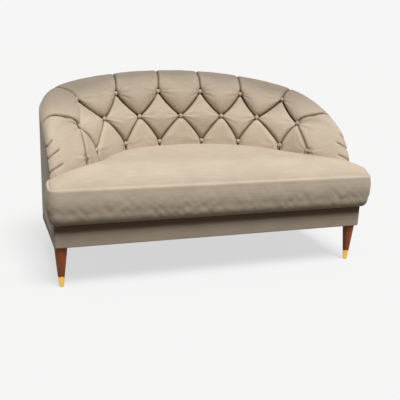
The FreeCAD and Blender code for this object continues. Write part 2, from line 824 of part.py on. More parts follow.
def nose_edge(inside, outside, leave, arrive):
    """Round the arm front, from the inside face to the outer seam."""
    return cubic(inside, outside, leave * nose_round, arrive * nose_round)


foot_end = foot_path(FOOT_AT[3.5])
nose_high_edge = nose_edge(M[3][0], nose_high, NOSE_HIGH_LEAVE_SHARE, NOSE_HIGH_ARRIVE_SHARE)
nose_low_edge = nose_edge(L[3.5][0], nose_low, NOSE_LOW_LEAVE_SHARE, NOSE_LOW_ARRIVE_SHARE)
nose_foot_edge = nose_edge(foot_end, nose_foot, NOSE_FOOT_LEAVE_SHARE, NOSE_FOOT_ARRIVE_SHARE)


# The lip runs a little way in from the outer seam, clear of the cover behind it
lip_shift = Vector(-size("nose_lip"), -size("seam_gap"), 0)
lip_lines = [[pole + lip_shift for pole in edge] for edge in arm_seam]
lip_lines[0][0] = lip_path(CREST_AT[3])
nose_lips = [lip_lines[0][0]] + [line[-1] for line in lip_lines]
plane_high = rail_path(CREST_AT[3])
plane_low = pad_back_path(FOOT_AT[3])


def on_plane(start, end, z):
    """Where the chord of an arm-front edge passes the hidden plane, at a height."""
    share = (z - plane_low.z) / (plane_high.z - plane_low.z)
    x = plane_low.x + (plane_high.x - plane_low.x) * share
    slope = (end.y - start.y) / (end.x - start.x)
    return Vector(x, start.y + slope * (x - start.x), z)


nose_inner = [plane_high, on_plane(M[3][0], nose_high, nose_lips[1].z),
              on_plane(L[3.5][0], nose_low, nose_lips[2].z), on_plane(foot_end, nose_foot, deck_z)]


def backwards(poles):
    return poles[::-1]


def diamond(station):
    """A full diamond between four buttons, swelling from its creases."""
    low, high = L[station], T[station]
    near, far = M[station - 0.5], M[station + 0.5]
    inward = (near[1] + far[1]).normalize()
    return quilt(crease(near, low), crease(low, far), crease(high, far), crease(near, high),
                 lambda i, j: inward * (puff * DIAMOND_SWELL_SHARE))


def upper_half(station, pleat):
    """Half of the cell above a middle button, from its centre line to a pleat."""
    button, inward = M[station]
    edge_low = crease(M[station], T[pleat])
    centre = over_roll(button, station, puff * UPPER_BELLY_SHARE)
    fold = over_roll(T[pleat][0], pleat, puff * CREST_FOLD_SWELL_SHARE)
    top = crest_edge(station, pleat) if pleat > station else backwards(crest_edge(pleat, station))
    by_row = {1: SWELL_BY_BUTTONS_SHARE, 2: SWELL_BY_CREST_SHARE}
    return quilt(edge_low, fold, top, centre, lambda i, j: inward * (puff * HALF_CELL_SHARES[i] * by_row[j]))


def lower_half(station, pleat):
    """Half of the cell below a middle button, from its centre line to a fold."""
    inward = M[station][1]
    edge_high = crease(M[station], L[pleat])
    centre = down_wall(M[station], station, puff * LOWER_BELLY_SHARE)
    fold = down_wall(L[pleat], pleat, puff * FOOT_FOLD_SWELL_SHARE)
    foot = along(foot_path, FOOT_AT[station], FOOT_AT[pleat])
    by_row = {1: SWELL_BY_BUTTONS_SHARE, 2: SWELL_BY_FOOT_SHARE}
    return quilt(edge_high, fold, foot, centre, lambda i, j: inward * (puff * HALF_CELL_SHARES[i] * by_row[j]))


def inside_back_faces():
    """All faces of the right half of the inside back."""
    nets = [diamond(station) for station in (0.5, 1.5, 2.5)]
    nets += [upper_half(0, 0.5), lower_half(0, 0.5)]
    for station in (1, 2):
        nets += [upper_half(station, station - 0.5), upper_half(station, station + 0.5)]
    for station in (1, 2, 3):
        nets += [lower_half(station, station - 0.5), lower_half(station, station + 0.5)]
    arm_fold = over_roll(M[3][0], 3, puff * CREST_FOLD_SWELL_SHARE)
    corner_fold = over_roll(T[2.5][0], 2.5, puff * CREST_FOLD_SWELL_SHARE)
    arm_inward = (T[2.5][1] + M[3][1]).normalize()
    nets.append(quilt(crease(T[2.5], M[3]), arm_fold, crest_edge(2.5, 3), corner_fold,
                      lambda i, j: (arm_inward + UP * ARM_CELL_LIFT_SHARE) * (puff * ARM_CELL_SWELL_SHARE)))
    swell = ARM_SWELL_SHARES * puff
    low_fold = down_wall(L[3.5], 3.5, puff * FOOT_FOLD_SWELL_SHARE)
    nets.append(quilt(arm_fold, down_roll(3), backwards(arm_seam[0]), nose_high_edge,
                      lambda i, j: swell * ARM_SWELL_HIGH_SHARE))
    nets.append(quilt(crease(M[3], L[3.5]), nose_low_edge, arm_seam[1], nose_high_edge,
                      lambda i, j: swell * ARM_SWELL_LOW_SHARE))
    nets.append(quilt(low_fold, nose_foot_edge, arm_seam[2], nose_low_edge,
                      lambda i, j: swell * ARM_SWELL_FOOT_SHARE))
    linings = []
    for start, end in zip(STATIONS, STATIONS[1:]):
        run, next_run = CREST_AT[start], CREST_AT[end]
        outer_seam = along(seam_path, run, next_run)
        nets.append(quilt(crest_edge(start, end), down_roll(end), outer_seam, down_roll(start)))
        lines = [along(path, run, next_run) for path in (seam_path, lip_path, rail_path)]
        lines += [along(path, FOOT_AT[start], FOOT_AT[end]) for path in (pad_back_path, foot_path)]
        linings += list(zip(lines, lines[1:]))
    inner_lines = [straight(a, b) for a, b in zip(nose_inner, nose_inner[1:])]
    for seam, lip, inner in zip(arm_seam, lip_lines, inner_lines):
        linings += [(seam, lip), (lip, inner)]
    corner_line = straight(nose_inner[-1], plane_low)
    side_end = [(line, True) for line in inner_lines]
    side_end += [(corner_line, False), (straight(plane_low, plane_high), False)]
    base_end = [(along(foot_path, FOOT_AT[3], FOOT_AT[3.5]), True), (nose_foot_edge, True),
                (straight(nose_foot, nose_lips[-1]), False), (straight(nose_lips[-1], nose_inner[-1]), False),
                (corner_line, False), (straight(plane_low, foot_path(FOOT_AT[3])), False)]
    faces = [face for net in nets for face in padded(net)]
    faces += [face for edges in linings for face in lining(*edges)]
    return faces + [flat_end(side_end), flat_end(base_end)]


inside_back = stitched(both_halves(inside_back_faces()))

# Covered buttons, each sunk in a round seat in the pad
button_radius = size("button_diameter") / 2
BUTTON_LEAN_SHARE = 0.12
# Rings of a button's dome, as shares of its height and radius
BUTTON_DOME_SHARES = [(0.8, 0.7), (1, 0.25)]


def button_places():
    """Place and inward direction of every button, both sides."""
    for points in (M, T, L):
        for station, (place, inward) in points.items():
            lean = (inward + UP * BUTTON_LEAN_SHARE).normalize()
            yield place, lean
            if station > 0:
                yield flip(place), flip(lean)


def button_ring(centre, axis, radius):
    """A ring of points square to an axis."""
    level = UP.cross(axis).normalize()
    rise = axis.cross(level)
    turns = [2 * math.pi * number / size("button_sides") for number in range(int(size("button_sides")))]
    points = [centre + level * (radius * math.cos(turn)) + rise * (radius * math.sin(turn)) for turn in turns]
    return points + points[:1]


def turned_facets(rings):
    """A closed solid through rings of points."""
    ends = [Part.Face(Part.makePolygon(ring)) for ring in (rings[0], rings[-1])]
    return stitched(facets(rings) + ends)


buttons = []
seats = []
for place, inward in button_places():
    floor = place - inward * size("button_sink")
    seat_radius = button_radius + size("button_clearance")
    seat_floor = Part.Face(Part.makePolygon(button_ring(floor, inward, seat_radius)))
    seats.append(seat_floor.extrude(inward * (size("button_sink") + puff)))
    levels = [(0, 1), (size("button_rim"), 1)]
    levels += [(size("button_height") * rise, share) for rise, share in BUTTON_DOME_SHARES]
    buttons.append(turned_facets([button_ring(floor + inward * height, inward, button_radius * share)
                                  for height, share in levels]))
formed("inside_back", inside_back.cut(seats))
formed("back_buttons", Part.makeCompound(buttons))


# Outside cover: follows the pad's seam and stands on the base line
def cover_paths(inset):
    """The cover's upper and lower lines, at its outside or one wall further in."""
    def upper(run):
        point = seam_path(run)
        outward = crest.at(abs(run))[1]
        outward = outward if run >= 0 else flip(outward)
        return point - outward * inset - UP * size("seam_gap")

    def lower(run):
        place, outward = crest.at(abs(run))
        point = place + outward * (cover_reach(frame_foot_z) - inset) + UP * frame_foot_z
        return point if run >= 0 else flip(point)
    return upper, lower


def cover_arm(inset):
    """The cover's upper and lower edges beside the arm, down to the border."""
    shift = Vector(-inset, 0, -size("seam_gap"))
    upper = [[pole + shift for pole in edge] for edge in arm_seam]
    last = upper[-1][-1]
    end = Vector(last.x, frame_front_y, last.z)
    upper.append(straight(last, end))
    lower_x = crest_half_width + cover_reach(frame_foot_z) - inset
    ys = [upper[0][0].y] + [edge[-1].y for edge in upper]
    points = [Vector(lower_x, y, frame_foot_z) for y in ys]
    return upper, [straight(a, b) for a, b in zip(points, points[1:])]


def outside_cover_faces():
    faces = []
    outer_up, outer_low = cover_paths(0)
    inner_up, inner_low = cover_paths(size("cover_thickness"))
    for start, end in zip(STATIONS, STATIONS[1:]):
        run, next_run = CREST_AT[start], CREST_AT[end]
        faces += tube([along(path, run, next_run) for path in (outer_up, inner_up, inner_low, outer_low)])
    outer = cover_arm(0)
    inner = cover_arm(size("cover_thickness"))
    for lines in zip(outer[0], inner[0], inner[1], outer[1]):
        faces += tube(lines)
    ends = [edges[-1][-1] for edges in (outer[0], inner[0], inner[1], outer[1])]
    faces.append(Part.Face(Part.makePolygon(ends + ends[:1])))
    return faces


formed("outside_cover", stitched(both_halves(outside_cover_faces())))


# Top rail inside the roll, the uprights under it and the arm panels
def rail_lines():
    """The four long corners of the top rail."""
    top = size("roll_padding") + size("seam_gap")
    low = top + size("top_rail_thickness")
    outer, inner = size("top_rail_outer"), -size("top_rail_inner")
    return [roll_path(outer, top), roll_path(inner, top), roll_path(inner, low), roll_path(outer, low)]


rail_end_run = crest.run_at_y(front_y + size("top_rail_front"))


def top_rail_faces():
    runs = [CREST_AT[station] for station in STATIONS if CREST_AT[station] < rail_end_run] + [rail_end_run]
    faces = []
    for start, end in zip(runs, runs[1:]):
        faces += tube([along(path, start, end) for path in rail_lines()])
    ends = [path(rail_end_run) for path in rail_lines()]
    faces.append(Part.Face(Part.makePolygon(ends + ends[:1])))
    return faces


top_rail = stitched(both_halves(top_rail_faces()))
formed("top_rail", top_rail)


def upright(run):
    """A board from the seat hoop up to the rail, trimmed to the rail's slope."""
    place, outward = crest.at(run)
    along_path = Vector(outward.y, -outward.x, 0)
    half = size("upright_width") / 2
    head = crest_z(run) - size("roll_padding") - size("top_rail_thickness")
    low = place - along_path * half - outward * size("upright_inner") + UP * deck_z
    corners = [low, low + along_path * 2 * half]
    corners += [corners[1] + UP * (head - deck_z), corners[0] + UP * (head - deck_z)]
    board = Part.Face(Part.makePolygon(corners + corners[:1]))
    board = board.extrude(outward * (size("upright_inner") + size("upright_outer")))
    solids = board.cut(top_rail).Solids
    return min(solids, key=lambda solid: solid.CenterOfMass.z)


upright_runs = [0, CREST_AT[1], CREST_AT[2], (crest.back_run + crest.side_run) / 2 + size("upright_width")]
formed("upright_centre", upright(upright_runs[0]))
for number, run in enumerate(upright_runs[1:], start=1):
    board = upright(run)
    formed(f"upright_right_{number}", board)
    formed(f"upright_left_{number}", board.mirror(Vector(), Vector(1, 0, 0)))


def arm_panel():
    """A shaped side panel: its front edge follows the arm's seam, and the top rail rests on it."""
    clearance = size("nose_lip")
    outer_x = crest_half_width + cover_reach(deck_z) - size("cover_thickness") - size("arm_panel_inset")
    inner_x = outer_x - size("arm_panel_thickness")
    front = []
    for lip, inner in zip(nose_lips[1:], nose_inner[1:]):
        share = (lip.x - inner_x) / (lip.x - inner.x)
        front.append((lip.y + (inner.y - lip.y) * share + clearance, lip.z))
    back_y = front_y + size("arm_panel_back")
    rail_foot = size("roll_padding") + size("seam_gap") + size("top_rail_thickness")
    outline = [(back_y, deck_z)] + front[::-1]
    for y in (front_y + size("top_rail_front"), back_y):
        outline.append((y, crest_z(crest.run_at_y(y)) - rail_foot + size("seam_gap")))
    outline[-3] = (outline[-3][0], min(outline[-3][1], outline[-2][1]) - clearance)
    corners = [Vector(inner_x, y, z) for y, z in outline]
    panel = Part.Face(Part.makePolygon(corners + corners[:1])).extrude(Vector(size("arm_panel_thickness"), 0, 0))
    solids = panel.cut(top_rail).Solids
    return min(solids, key=lambda solid: solid.CenterOfMass.z)


right_panel = arm_panel()
formed("arm_panel_right", right_panel)
formed("arm_panel_left", right_panel.mirror(Vector(), Vector(1, 0, 0)))


# Seat cushion: one outline, drawn in level by level and crowned on top
cushion_half = size("base_width") / 2 + size("cushion_side_overhang")
cushion_front = front_y - size("cushion_overhang")
cushion_line = bottom_row.offset(-puff - size("cushion_clearance"))
ear_back = front_y + size("ear_depth")
# Shares of the tub's corner radius, of a ring's inset and of the corner radius, in that order
TUB_LEAVE_SHARE = 0.28
EAR_DRAW_IN_SHARE = 0.7
TIGHTEST_CORNER_SHARE = 0.2


def cushion_outline(inset, z, scale=1.0):
    """Points of the outline: straight front, ears beside the arms, and the tub's own curve behind."""
    curve = cushion_line.offset(-inset)
    half = cushion_half - inset
    corner = max(size("cushion_corner_radius") - inset, size("cushion_corner_radius") * TIGHTEST_CORNER_SHARE)
    low = cushion_front + inset
    bend = corner * (1 - math.sqrt(0.5))
    ear_end = Vector(half - size("ear_corner"), ear_back - inset * EAR_DRAW_IN_SHARE, 0)
    side_end = Vector(half, ear_end.y - size("ear_corner"), 0)
    side_start = Vector(half, min(low + corner, side_end.y - 1), 0)
    tub_run = curve.side_run - curve.corner_radius * TUB_LEAVE_SHARE
    tub_start = curve.at(tub_run)[0]
    chord = ear_end - tub_start
    notch = (ear_end + tub_start) / 2 + Vector(chord.y, -chord.x, 0).normalize() * size("ear_notch")
    front_corner = Vector(half - corner, low, 0)
    tub_middle = curve.at((curve.back_run + tub_run) / 2)[0]
    tub_end = curve.at(curve.back_run)[0]
    ear_bend = size("ear_corner") * (1 - math.sqrt(0.5))
    right = [
        (front_corner, Vector(half - bend, low + bend, 0), side_start),
        (side_start, None, side_end),
        (side_end, Vector(half - ear_bend, ear_end.y - ear_bend, 0), ear_end),
        (ear_end, notch, tub_start),
        (tub_start, tub_middle, tub_end),
    ]
    front = (flip(front_corner), Vector(0, low + size("cushion_draw_in"), 0), front_corner)
    back = (tub_end, Vector(0, curve.back_y, 0), flip(tub_end))
    left = [(flip(c), flip(b) if b else None, flip(a)) for a, b, c in right[::-1]]
    middle = Vector(0, (cushion_front + cushion_line.back_y) / 2, 0)

    def placed(point):
        return middle + (point - middle) * scale + UP * z

    points = []
    for start, through, end in [front] + right + [back] + left:
        edge = Part.Arc(start, through, end) if through else Part.LineSegment(start, end)
        points += edge.toShape().discretize(int(size("facets_per_edge")) + 1)[:-1]
    return [placed(point) for point in points + points[:1]]


rounding = size("cushion_edge_rounding")
edge_top = deck_z + size("cushion_edge_height")
crown = size("cushion_crown")
# Rings up the side: inset and rise as shares of the rounding, from the deck and from the upper edge
LOWER_RINGS_SHARES = [(1, 0), (0.4, 0.25), (0.08, 0.8), (0, 2)]
UPPER_RINGS_SHARES = [(0.08, -0.9), (0.45, -0.2)]
# Rings over the top: rise as a share of the crown, and size as a share of the outline
CROWN_RINGS_SHARES = [(0.15, 1), (0.66, 0.8), (0.93, 0.5), (1, 0.18)]
CROWN_INSET_SHARE = 1.2
cushion_levels = [(rounding * inset, deck_z + rounding * rise, 1) for inset, rise in LOWER_RINGS_SHARES]
cushion_levels += [(rounding * inset, edge_top + rounding * rise, 1) for inset, rise in UPPER_RINGS_SHARES]
crown_inset = rounding * CROWN_INSET_SHARE
cushion_levels += [(crown_inset, edge_top + crown * rise, share) for rise, share in CROWN_RINGS_SHARES]
cushion = turned_facets([cushion_outline(*level) for level in cushion_levels])
wall = size("cushion_wall")
foam_outline = Part.makePolygon(cushion_outline(wall, deck_z + wall / 2))
foam = Part.Face(foam_outline).extrude(UP * (size("cushion_edge_height") - wall))
formed("cushion_cover", cushion.cut(foam))
formed("cushion_foam", foam)

# Nothing is written unless every object and every solid is sound
doc.recompute()
for obj in doc.Objects:
    if "Invalid" in obj.State or "Error" in obj.State:
        raise RuntimeError(f"{obj.Name} did not build: {obj.State}")
for obj in sub_parts:
    if obj.Shape.isNull() or not obj.Shape.isValid() or not obj.Shape.Solids:
        raise RuntimeError(f"{obj.Label} has no sound solid")

os.makedirs("parts", exist_ok=True)
for obj in sub_parts:
    obj.Shape.exportStep(f"parts/{obj.Label}.step")
    print(f"{obj.Label}: {len(obj.Shape.Solids)} solids, {obj.Shape.Volume / 1000:.1f} cm3")
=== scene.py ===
# %% [markdown]
# A loveseat with a deep-buttoned tub back.
# The CAD frame gives every place and size. This lesson dresses it: first the camera and the light,
# then the finishes, and then each soft or turned piece, made in the frame's own metres. The CAD solids
# could be shown as they are, but they have no pleats, no wrinkles and no weave.

# %% Load the frame
import json
import math

import bmesh
import bpy
import numpy as np
from mathutils import Matrix, Vector, kdtree, noise


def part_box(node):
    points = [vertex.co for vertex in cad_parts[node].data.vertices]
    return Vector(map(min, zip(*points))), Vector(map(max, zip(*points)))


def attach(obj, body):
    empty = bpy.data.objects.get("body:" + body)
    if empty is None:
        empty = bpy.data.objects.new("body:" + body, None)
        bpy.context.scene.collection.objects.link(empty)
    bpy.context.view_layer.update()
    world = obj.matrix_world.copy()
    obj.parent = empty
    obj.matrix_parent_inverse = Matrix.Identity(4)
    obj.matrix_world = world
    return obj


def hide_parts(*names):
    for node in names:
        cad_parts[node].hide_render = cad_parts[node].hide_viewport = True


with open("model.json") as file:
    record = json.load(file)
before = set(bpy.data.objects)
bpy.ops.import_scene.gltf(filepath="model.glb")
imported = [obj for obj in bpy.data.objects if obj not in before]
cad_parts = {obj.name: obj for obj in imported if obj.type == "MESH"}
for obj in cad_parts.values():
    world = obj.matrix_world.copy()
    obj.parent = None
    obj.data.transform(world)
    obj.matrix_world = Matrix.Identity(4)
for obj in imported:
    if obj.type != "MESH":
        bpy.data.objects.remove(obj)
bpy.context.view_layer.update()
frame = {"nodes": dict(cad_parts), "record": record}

bpy.ops.object.select_all(action="DESELECT")

# %% [markdown]
# The camera stands where the photographer stood: in front, to the left, a little above the back. It
# could be aimed with a constraint and moved by hand. Its place and turn were found from matching points
# instead, so they are set as plain numbers. A picture 400 pixels wide and a focal length in pixels give
# the lens for a 36 mm sensor.

# %% Camera
IMAGE_WIDTH = 400
FOCAL_PIXELS = 613
SENSOR_WIDTH = 36
CAMERA_PLACE = (-0.993, -2.7485, 1.056)
yaw = math.radians(20.5)
pitch = math.radians(15.4)
roll = math.radians(2.43)
forward = Vector((math.sin(yaw) * math.cos(pitch), math.cos(yaw) * math.cos(pitch), -math.sin(pitch)))
level_right = Vector((math.cos(yaw), -math.sin(yaw), 0))
level_up = level_right.cross(forward)
camera_right = math.cos(roll) * level_right + math.sin(roll) * level_up
camera_up = math.cos(roll) * level_up - math.sin(roll) * level_right
bpy.ops.object.camera_add(location=CAMERA_PLACE)
camera = bpy.context.object
camera.rotation_euler = Matrix((camera_right, camera_up, -forward)).transposed().to_euler()
camera.data.sensor_width = SENSOR_WIDTH
camera.data.lens = FOCAL_PIXELS / IMAGE_WIDTH * SENSOR_WIDTH
bpy.context.scene.camera = camera
print("lens:", round(camera.data.lens, 1), "mm")

# %% [markdown]
# Finishes are trees of nodes. They could be wired by hand in the shader editor. In a script each node and
# each link takes a line, so small helpers add a node together with its sources, do a step of arithmetic
# or blend two colours. The Standard view shows tones as they are rendered, which makes it easy to
# compare them with a photograph.

# %% Node helpers
bpy.context.scene.view_settings.view_transform = "Standard"


def feed(node, sources):
    """Set the inputs of a node: linked where the source is a socket, else as a plain value."""
    for socket, source in sources.items():
        if hasattr(source, "links"):
            node.id_data.links.new(source, node.inputs[socket])
        else:
            node.inputs[socket].default_value = source


def nodes_of(owner):
    """The nodes of a material or a sky, and a function that adds one more."""
    owner.use_nodes = True
    nodes = owner.node_tree.nodes

    def add(kind, sources=None, **settings):
        node = nodes.new(kind)
        for name, value in settings.items():
            setattr(node, name, value)
        feed(node, sources or {})
        return node

    return nodes, add


def reckon(add, operation, first, second):
    """The result of one step of arithmetic."""
    return add("ShaderNodeMath", {0: first, 1: second}, operation=operation).outputs[0]


def blend(add, share, first, second):
    """A colour between two, by a share from 0 to 1."""
    mix = add("ShaderNodeMix", {"Factor": share, "A": (*first, 1), "B": (*second, 1)}, data_type="RGBA")
    return mix.outputs["Result"]


print("view:", bpy.context.scene.view_settings.view_transform)

# %% [markdown]
# A studio is a pale floor, one broad lamp and a soft sky. The floor could be a plain white sheet, but it
# would throw up so much light that the front of the seat lost its shade. So its nodes tell apart the
# rays that are seen, from the camera or from a polished surface, and the rays that only carry light: the
# floor looks pale and throws back little.


# %% Floor
def seen_rays(add):
    """1 for rays from the camera or from a polished surface, and 0 for all others."""
    rays = add("ShaderNodeLightPath").outputs
    return reckon(add, "MAXIMUM", rays["Is Camera Ray"], rays["Is Glossy Ray"])


FLOOR_SIZE = 80
PAPER_WHITE = 0.922
GLOW_SHARE = 0.7
bpy.ops.mesh.primitive_plane_add(size=FLOOR_SIZE)
floor = bpy.context.object
floor.name = "studio_floor"
floor_finish = bpy.data.materials.new("studio_floor_paint")
nodes, add = nodes_of(floor_finish)
seen = seen_rays(add)
paint = add("ShaderNodeBsdfDiffuse", {"Color": blend(add, seen, (0.08, 0.07, 0.06), (0.77, 0.77, 0.77))})
glow = add("ShaderNodeEmission", {"Color": (PAPER_WHITE, PAPER_WHITE, PAPER_WHITE, 1)})
share = reckon(add, "MULTIPLY", seen, GLOW_SHARE)
mixed = add("ShaderNodeMixShader", {0: share, 1: paint.outputs[0], 2: glow.outputs[0]})
feed(nodes["Material Output"], {"Surface": mixed.outputs[0]})
floor.data.materials.append(floor_finish)
print("floor:", FLOOR_SIZE, "m square")

# %% [markdown]
# The lamp could be a softbox close by, but its light would fall off across the floor. A sun lamp with a
# wide angle gives the same light everywhere, so the floor keeps one tone up to the horizon, and the
# shadows stay soft. The sky is dim and warm where it lights the seat, and paper white where it is seen.

# %% Lamp and sky
SKY_LIGHT = 0.17
bpy.ops.object.light_add(type="SUN", rotation=(math.radians(24), math.radians(4), 0))
lamp = bpy.context.object
lamp.data.energy = 3.5
lamp.data.angle = math.radians(30)
sky = bpy.data.worlds.new("studio_sky")
bpy.context.scene.world = sky
nodes, add = nodes_of(sky)
seen = seen_rays(add)
strength = add("ShaderNodeMapRange", {"Value": seen, "To Min": SKY_LIGHT, "To Max": PAPER_WHITE})
tint = blend(add, seen, (1, 0.94, 0.86), (1, 1, 1))
feed(nodes["Background"], {"Color": tint, "Strength": strength.outputs["Result"]})
print("lamp strength:", lamp.data.energy, "and sky:", SKY_LIGHT)

# %% [markdown]
# The upholstery is a beige cloth with a low sheen. Close up it is a plain weave, and over a hand's
# breadth its tone drifts a little. A picture of cloth would need unwrapping, so three noises on Object
# coordinates move the tone, and two crossed waves give the weave's bump. The pieces can carry two
# attributes that darken it with painted shade: one deep in a pleat and along the tucked top of the front
# border, the other on the crest of the roll, where it turns upwards.

# %% Tone of a cloth
# Painted shade: a warm brown that the cloth darkens towards deep in a pleat and on the tucked top of the
# front border, and the share of its tone that is left on the crest of the roll.
PAINTED_FOLD_SHADE = (0.26, 0.19, 0.12)
CREST_PAINTED_SHADE = 0.5


def ramp_colour(add, share, low, high):
    """A colour ramp between two stops, each a position and a colour."""
    ramp = add("ShaderNodeValToRGB", {"Fac": share})
    for stop, (position, colour) in zip(ramp.color_ramp.elements, (low, high)):
        stop.position = position
        stop.color = (*colour, 1)
    return ramp.outputs["Color"]


def multiplied(add, colour, other):
    """Two colours, or a colour and a number, multiplied."""
    return add("ShaderNodeVectorMath", {0: colour, 1: other}, operation="MULTIPLY").outputs[0]


def cloth_tone(add, place, tone_a, tone_b):
    """The colour of a cloth: slow drift, slubs along X and fine flecks, with painted shade in folds and on
    the crest.
    """
    drift = add("ShaderNodeTexNoise", {"Vector": place, "Scale": 9.0, "Detail": 4.0, "Roughness": 0.6})
    stretched = add("ShaderNodeMapping", {"Vector": place, "Scale": (1.0, 14.0, 14.0)})
    slub = add("ShaderNodeTexNoise", {"Vector": stretched.outputs[0], "Scale": 14.0, "Detail": 3.0})
    fleck = add("ShaderNodeTexNoise", {"Vector": place, "Scale": 420.0, "Detail": 2.0})
    total = reckon(add, "ADD", drift.outputs["Fac"], slub.outputs["Fac"])
    total = reckon(add, "ADD", total, fleck.outputs["Fac"])
    colour = ramp_colour(add, reckon(add, "MULTIPLY", total, 1 / 3), (0.38, tone_a), (0.62, tone_b))
    # Painted shade: the colour darkens towards a warm brown deep in a pleat and under the cushion's edge.
    fold = add("ShaderNodeAttribute", attribute_name="fold").outputs["Fac"]
    colour = multiplied(add, colour, blend(add, fold, (1, 1, 1), PAINTED_FOLD_SHADE))
    # Painted shade on the crest of the roll, where it turns upwards.
    painted_crest_shade = add("ShaderNodeAttribute", attribute_name="painted_crest_shade").outputs["Fac"]
    turned = add("ShaderNodeMapRange", {"Value": painted_crest_shade, "To Min": 1.0, "To Max": CREST_PAINTED_SHADE})
    return multiplied(add, colour, turned.outputs["Result"])


print("a full nap darkens the cloth to", CREST_PAINTED_SHADE, "of its tone")

# %% [markdown]
# All the cloths of the seat are woven alike, from the beige cover to the webbing and the black cloth
# underneath, and even the foam is a soft, matt surface with fine pores. Each could be a material of its
# own. One function with a few settings is shorter, and what is mended once is mended for all.

# %% Cloths
WAVE_RATE = 20


def make_cloth(name, tone_a, tone_b, threads=900, bump=0.25, sheen=0.3, roughness=0.8):
    """A woven cloth with a soft sheen; threads is how fast its waves run, in radians per metre."""
    cloth = bpy.data.materials.new(name)
    nodes, add = nodes_of(cloth)
    place = add("ShaderNodeTexCoord").outputs["Object"]
    wave = {"Vector": place, "Scale": threads / WAVE_RATE, "Distortion": 1.5, "Detail": 1.0}
    heights = [add("ShaderNodeTexWave", wave, bands_direction=way).outputs["Fac"] for way in ("X", "Z")]
    weave = reckon(add, "MAXIMUM", *heights)
    relief = add("ShaderNodeBump", {"Height": weave, "Strength": bump, "Distance": 0.0006})
    feed(nodes["Principled BSDF"], {
        "Base Color": cloth_tone(add, place, tone_a, tone_b), "Normal": relief.outputs["Normal"],
        "Roughness": roughness, "Sheen Weight": sheen, "Sheen Roughness": 0.35, "Specular IOR Level": 0.25})
    return cloth


upholstery = make_cloth("beige_upholstery", (0.50, 0.412, 0.315), (0.60, 0.502, 0.392))
button_cloth = make_cloth("beige_button_cover", (0.46, 0.37, 0.27), (0.56, 0.46, 0.345), roughness=0.45)
platform_cloth = make_cloth("platform_cloth", (0.40, 0.33, 0.26), (0.48, 0.40, 0.31), threads=700)
dust_cloth = make_cloth("black_dust_cloth", (0.012, 0.012, 0.012), (0.02, 0.02, 0.02), threads=600, sheen=0.0)
webbing_cloth = make_cloth("brown_webbing", (0.10, 0.07, 0.045), (0.16, 0.115, 0.075), threads=400, bump=0.6)
foam = make_cloth("open_cell_foam", (0.72, 0.68, 0.52), (0.80, 0.76, 0.60), threads=300, sheen=0.0)
cloths = (upholstery, button_cloth, platform_cloth, dust_cloth, webbing_cloth, foam)
print("cloths:", [cloth.name for cloth in cloths])

# %% [markdown]
# The legs are turned hardwood under a red-brown stain, and the frame inside is plain sawn timber. Wood
# could be a picture wrapped round the piece. A noise that is stretched along Z is enough for a leg,
# because the grain runs up it, and it fits every piece without unwrapping. A thin clear coat goes on
# top.


# %% Woods
def make_wood(name, dark, light, grain_scale, roughness, coat):
    """Wood whose grain runs along Z."""
    wood = bpy.data.materials.new(name)
    nodes, add = nodes_of(wood)
    place = add("ShaderNodeTexCoord").outputs["Object"]
    stretched = add("ShaderNodeMapping", {"Vector": place, "Scale": (1.0, 1.0, 0.06)})
    grain = add("ShaderNodeTexNoise", {"Vector": stretched.outputs[0], "Scale": grain_scale, "Detail": 8.0,
                                       "Roughness": 0.62, "Distortion": 0.6}).outputs["Fac"]
    relief = add("ShaderNodeBump", {"Height": grain, "Strength": 0.12, "Distance": 0.0008})
    feed(nodes["Principled BSDF"], {
        "Base Color": ramp_colour(add, grain, (0.35, dark), (0.68, light)),
        "Normal": relief.outputs["Normal"], "Roughness": roughness,
        "Coat Weight": coat, "Coat Roughness": 0.2})
    return wood


leg_wood = make_wood("red_brown_leg_wood", (0.20, 0.040, 0.008), (0.48, 0.120, 0.022), 260, 0.55, 0.04)
frame_wood = make_wood("sawn_frame_wood", (0.42, 0.27, 0.15), (0.62, 0.44, 0.27), 90, 0.8, 0.0)
print("woods:", leg_wood.name, frame_wood.name)

# %% [markdown]
# The foot caps are polished brass with fine turning marks, and the bolts are zinc-plated steel. A metal
# with one roughness looks like plastic film. So a noise that is stretched round the piece moves both
# the roughness and a very small bump.


# %% Metals
def make_metal(name, colour, roughness_low, roughness_high, mark_scale):
    """Metal with fine marks round Z, from turning or plating."""
    metal = bpy.data.materials.new(name)
    nodes, add = nodes_of(metal)
    place = add("ShaderNodeTexCoord").outputs["Object"]
    rings = add("ShaderNodeMapping", {"Vector": place, "Scale": (0.1, 0.1, 1.0)})
    marks = add("ShaderNodeTexNoise", {"Vector": rings.outputs[0], "Scale": mark_scale, "Detail": 5.0})
    marks = marks.outputs["Fac"]
    gloss = add("ShaderNodeMapRange", {"Value": marks, "To Min": roughness_low, "To Max": roughness_high})
    relief = add("ShaderNodeBump", {"Height": marks, "Strength": 0.05, "Distance": 0.0003})
    feed(nodes["Principled BSDF"], {
        "Base Color": (*colour, 1), "Metallic": 1, "Roughness": gloss.outputs["Result"],
        "Normal": relief.outputs["Normal"]})
    return metal


brass = make_metal("polished_brass", (0.86, 0.55, 0.12), 0.3, 0.42, 900)
bolt_steel = make_metal("zinc_plated_steel", (0.62, 0.62, 0.63), 0.35, 0.5, 600)
print("metals:", brass.name, bolt_steel.name)

# %% [markdown]
# Every CAD node that stays gets its finish from the record's own list of slots, so nothing is left
# in a plain colour, even deep inside the seat. The seat hoop is timber too, but its ends show beside
# the deck once the cushion is lifted, so an upholsterer wraps it in platform cloth.

# %% Finishes on the CAD nodes
SLOT_FINISH = {"upholstery": upholstery, "leg_wood": leg_wood, "brass": brass, "bolt_steel": bolt_steel,
               "frame_wood": frame_wood, "webbing": webbing_cloth, "platform_cloth": platform_cloth,
               "dust_cloth": dust_cloth, "foam": foam}
for entry in frame["record"]["subparts"]:
    node = frame["nodes"][entry["node"]]
    node.data.materials.clear()
    node.data.materials.append(SLOT_FINISH[entry["material_slot"]])
frame["nodes"]["seat_hoop"].data.materials[0] = platform_cloth

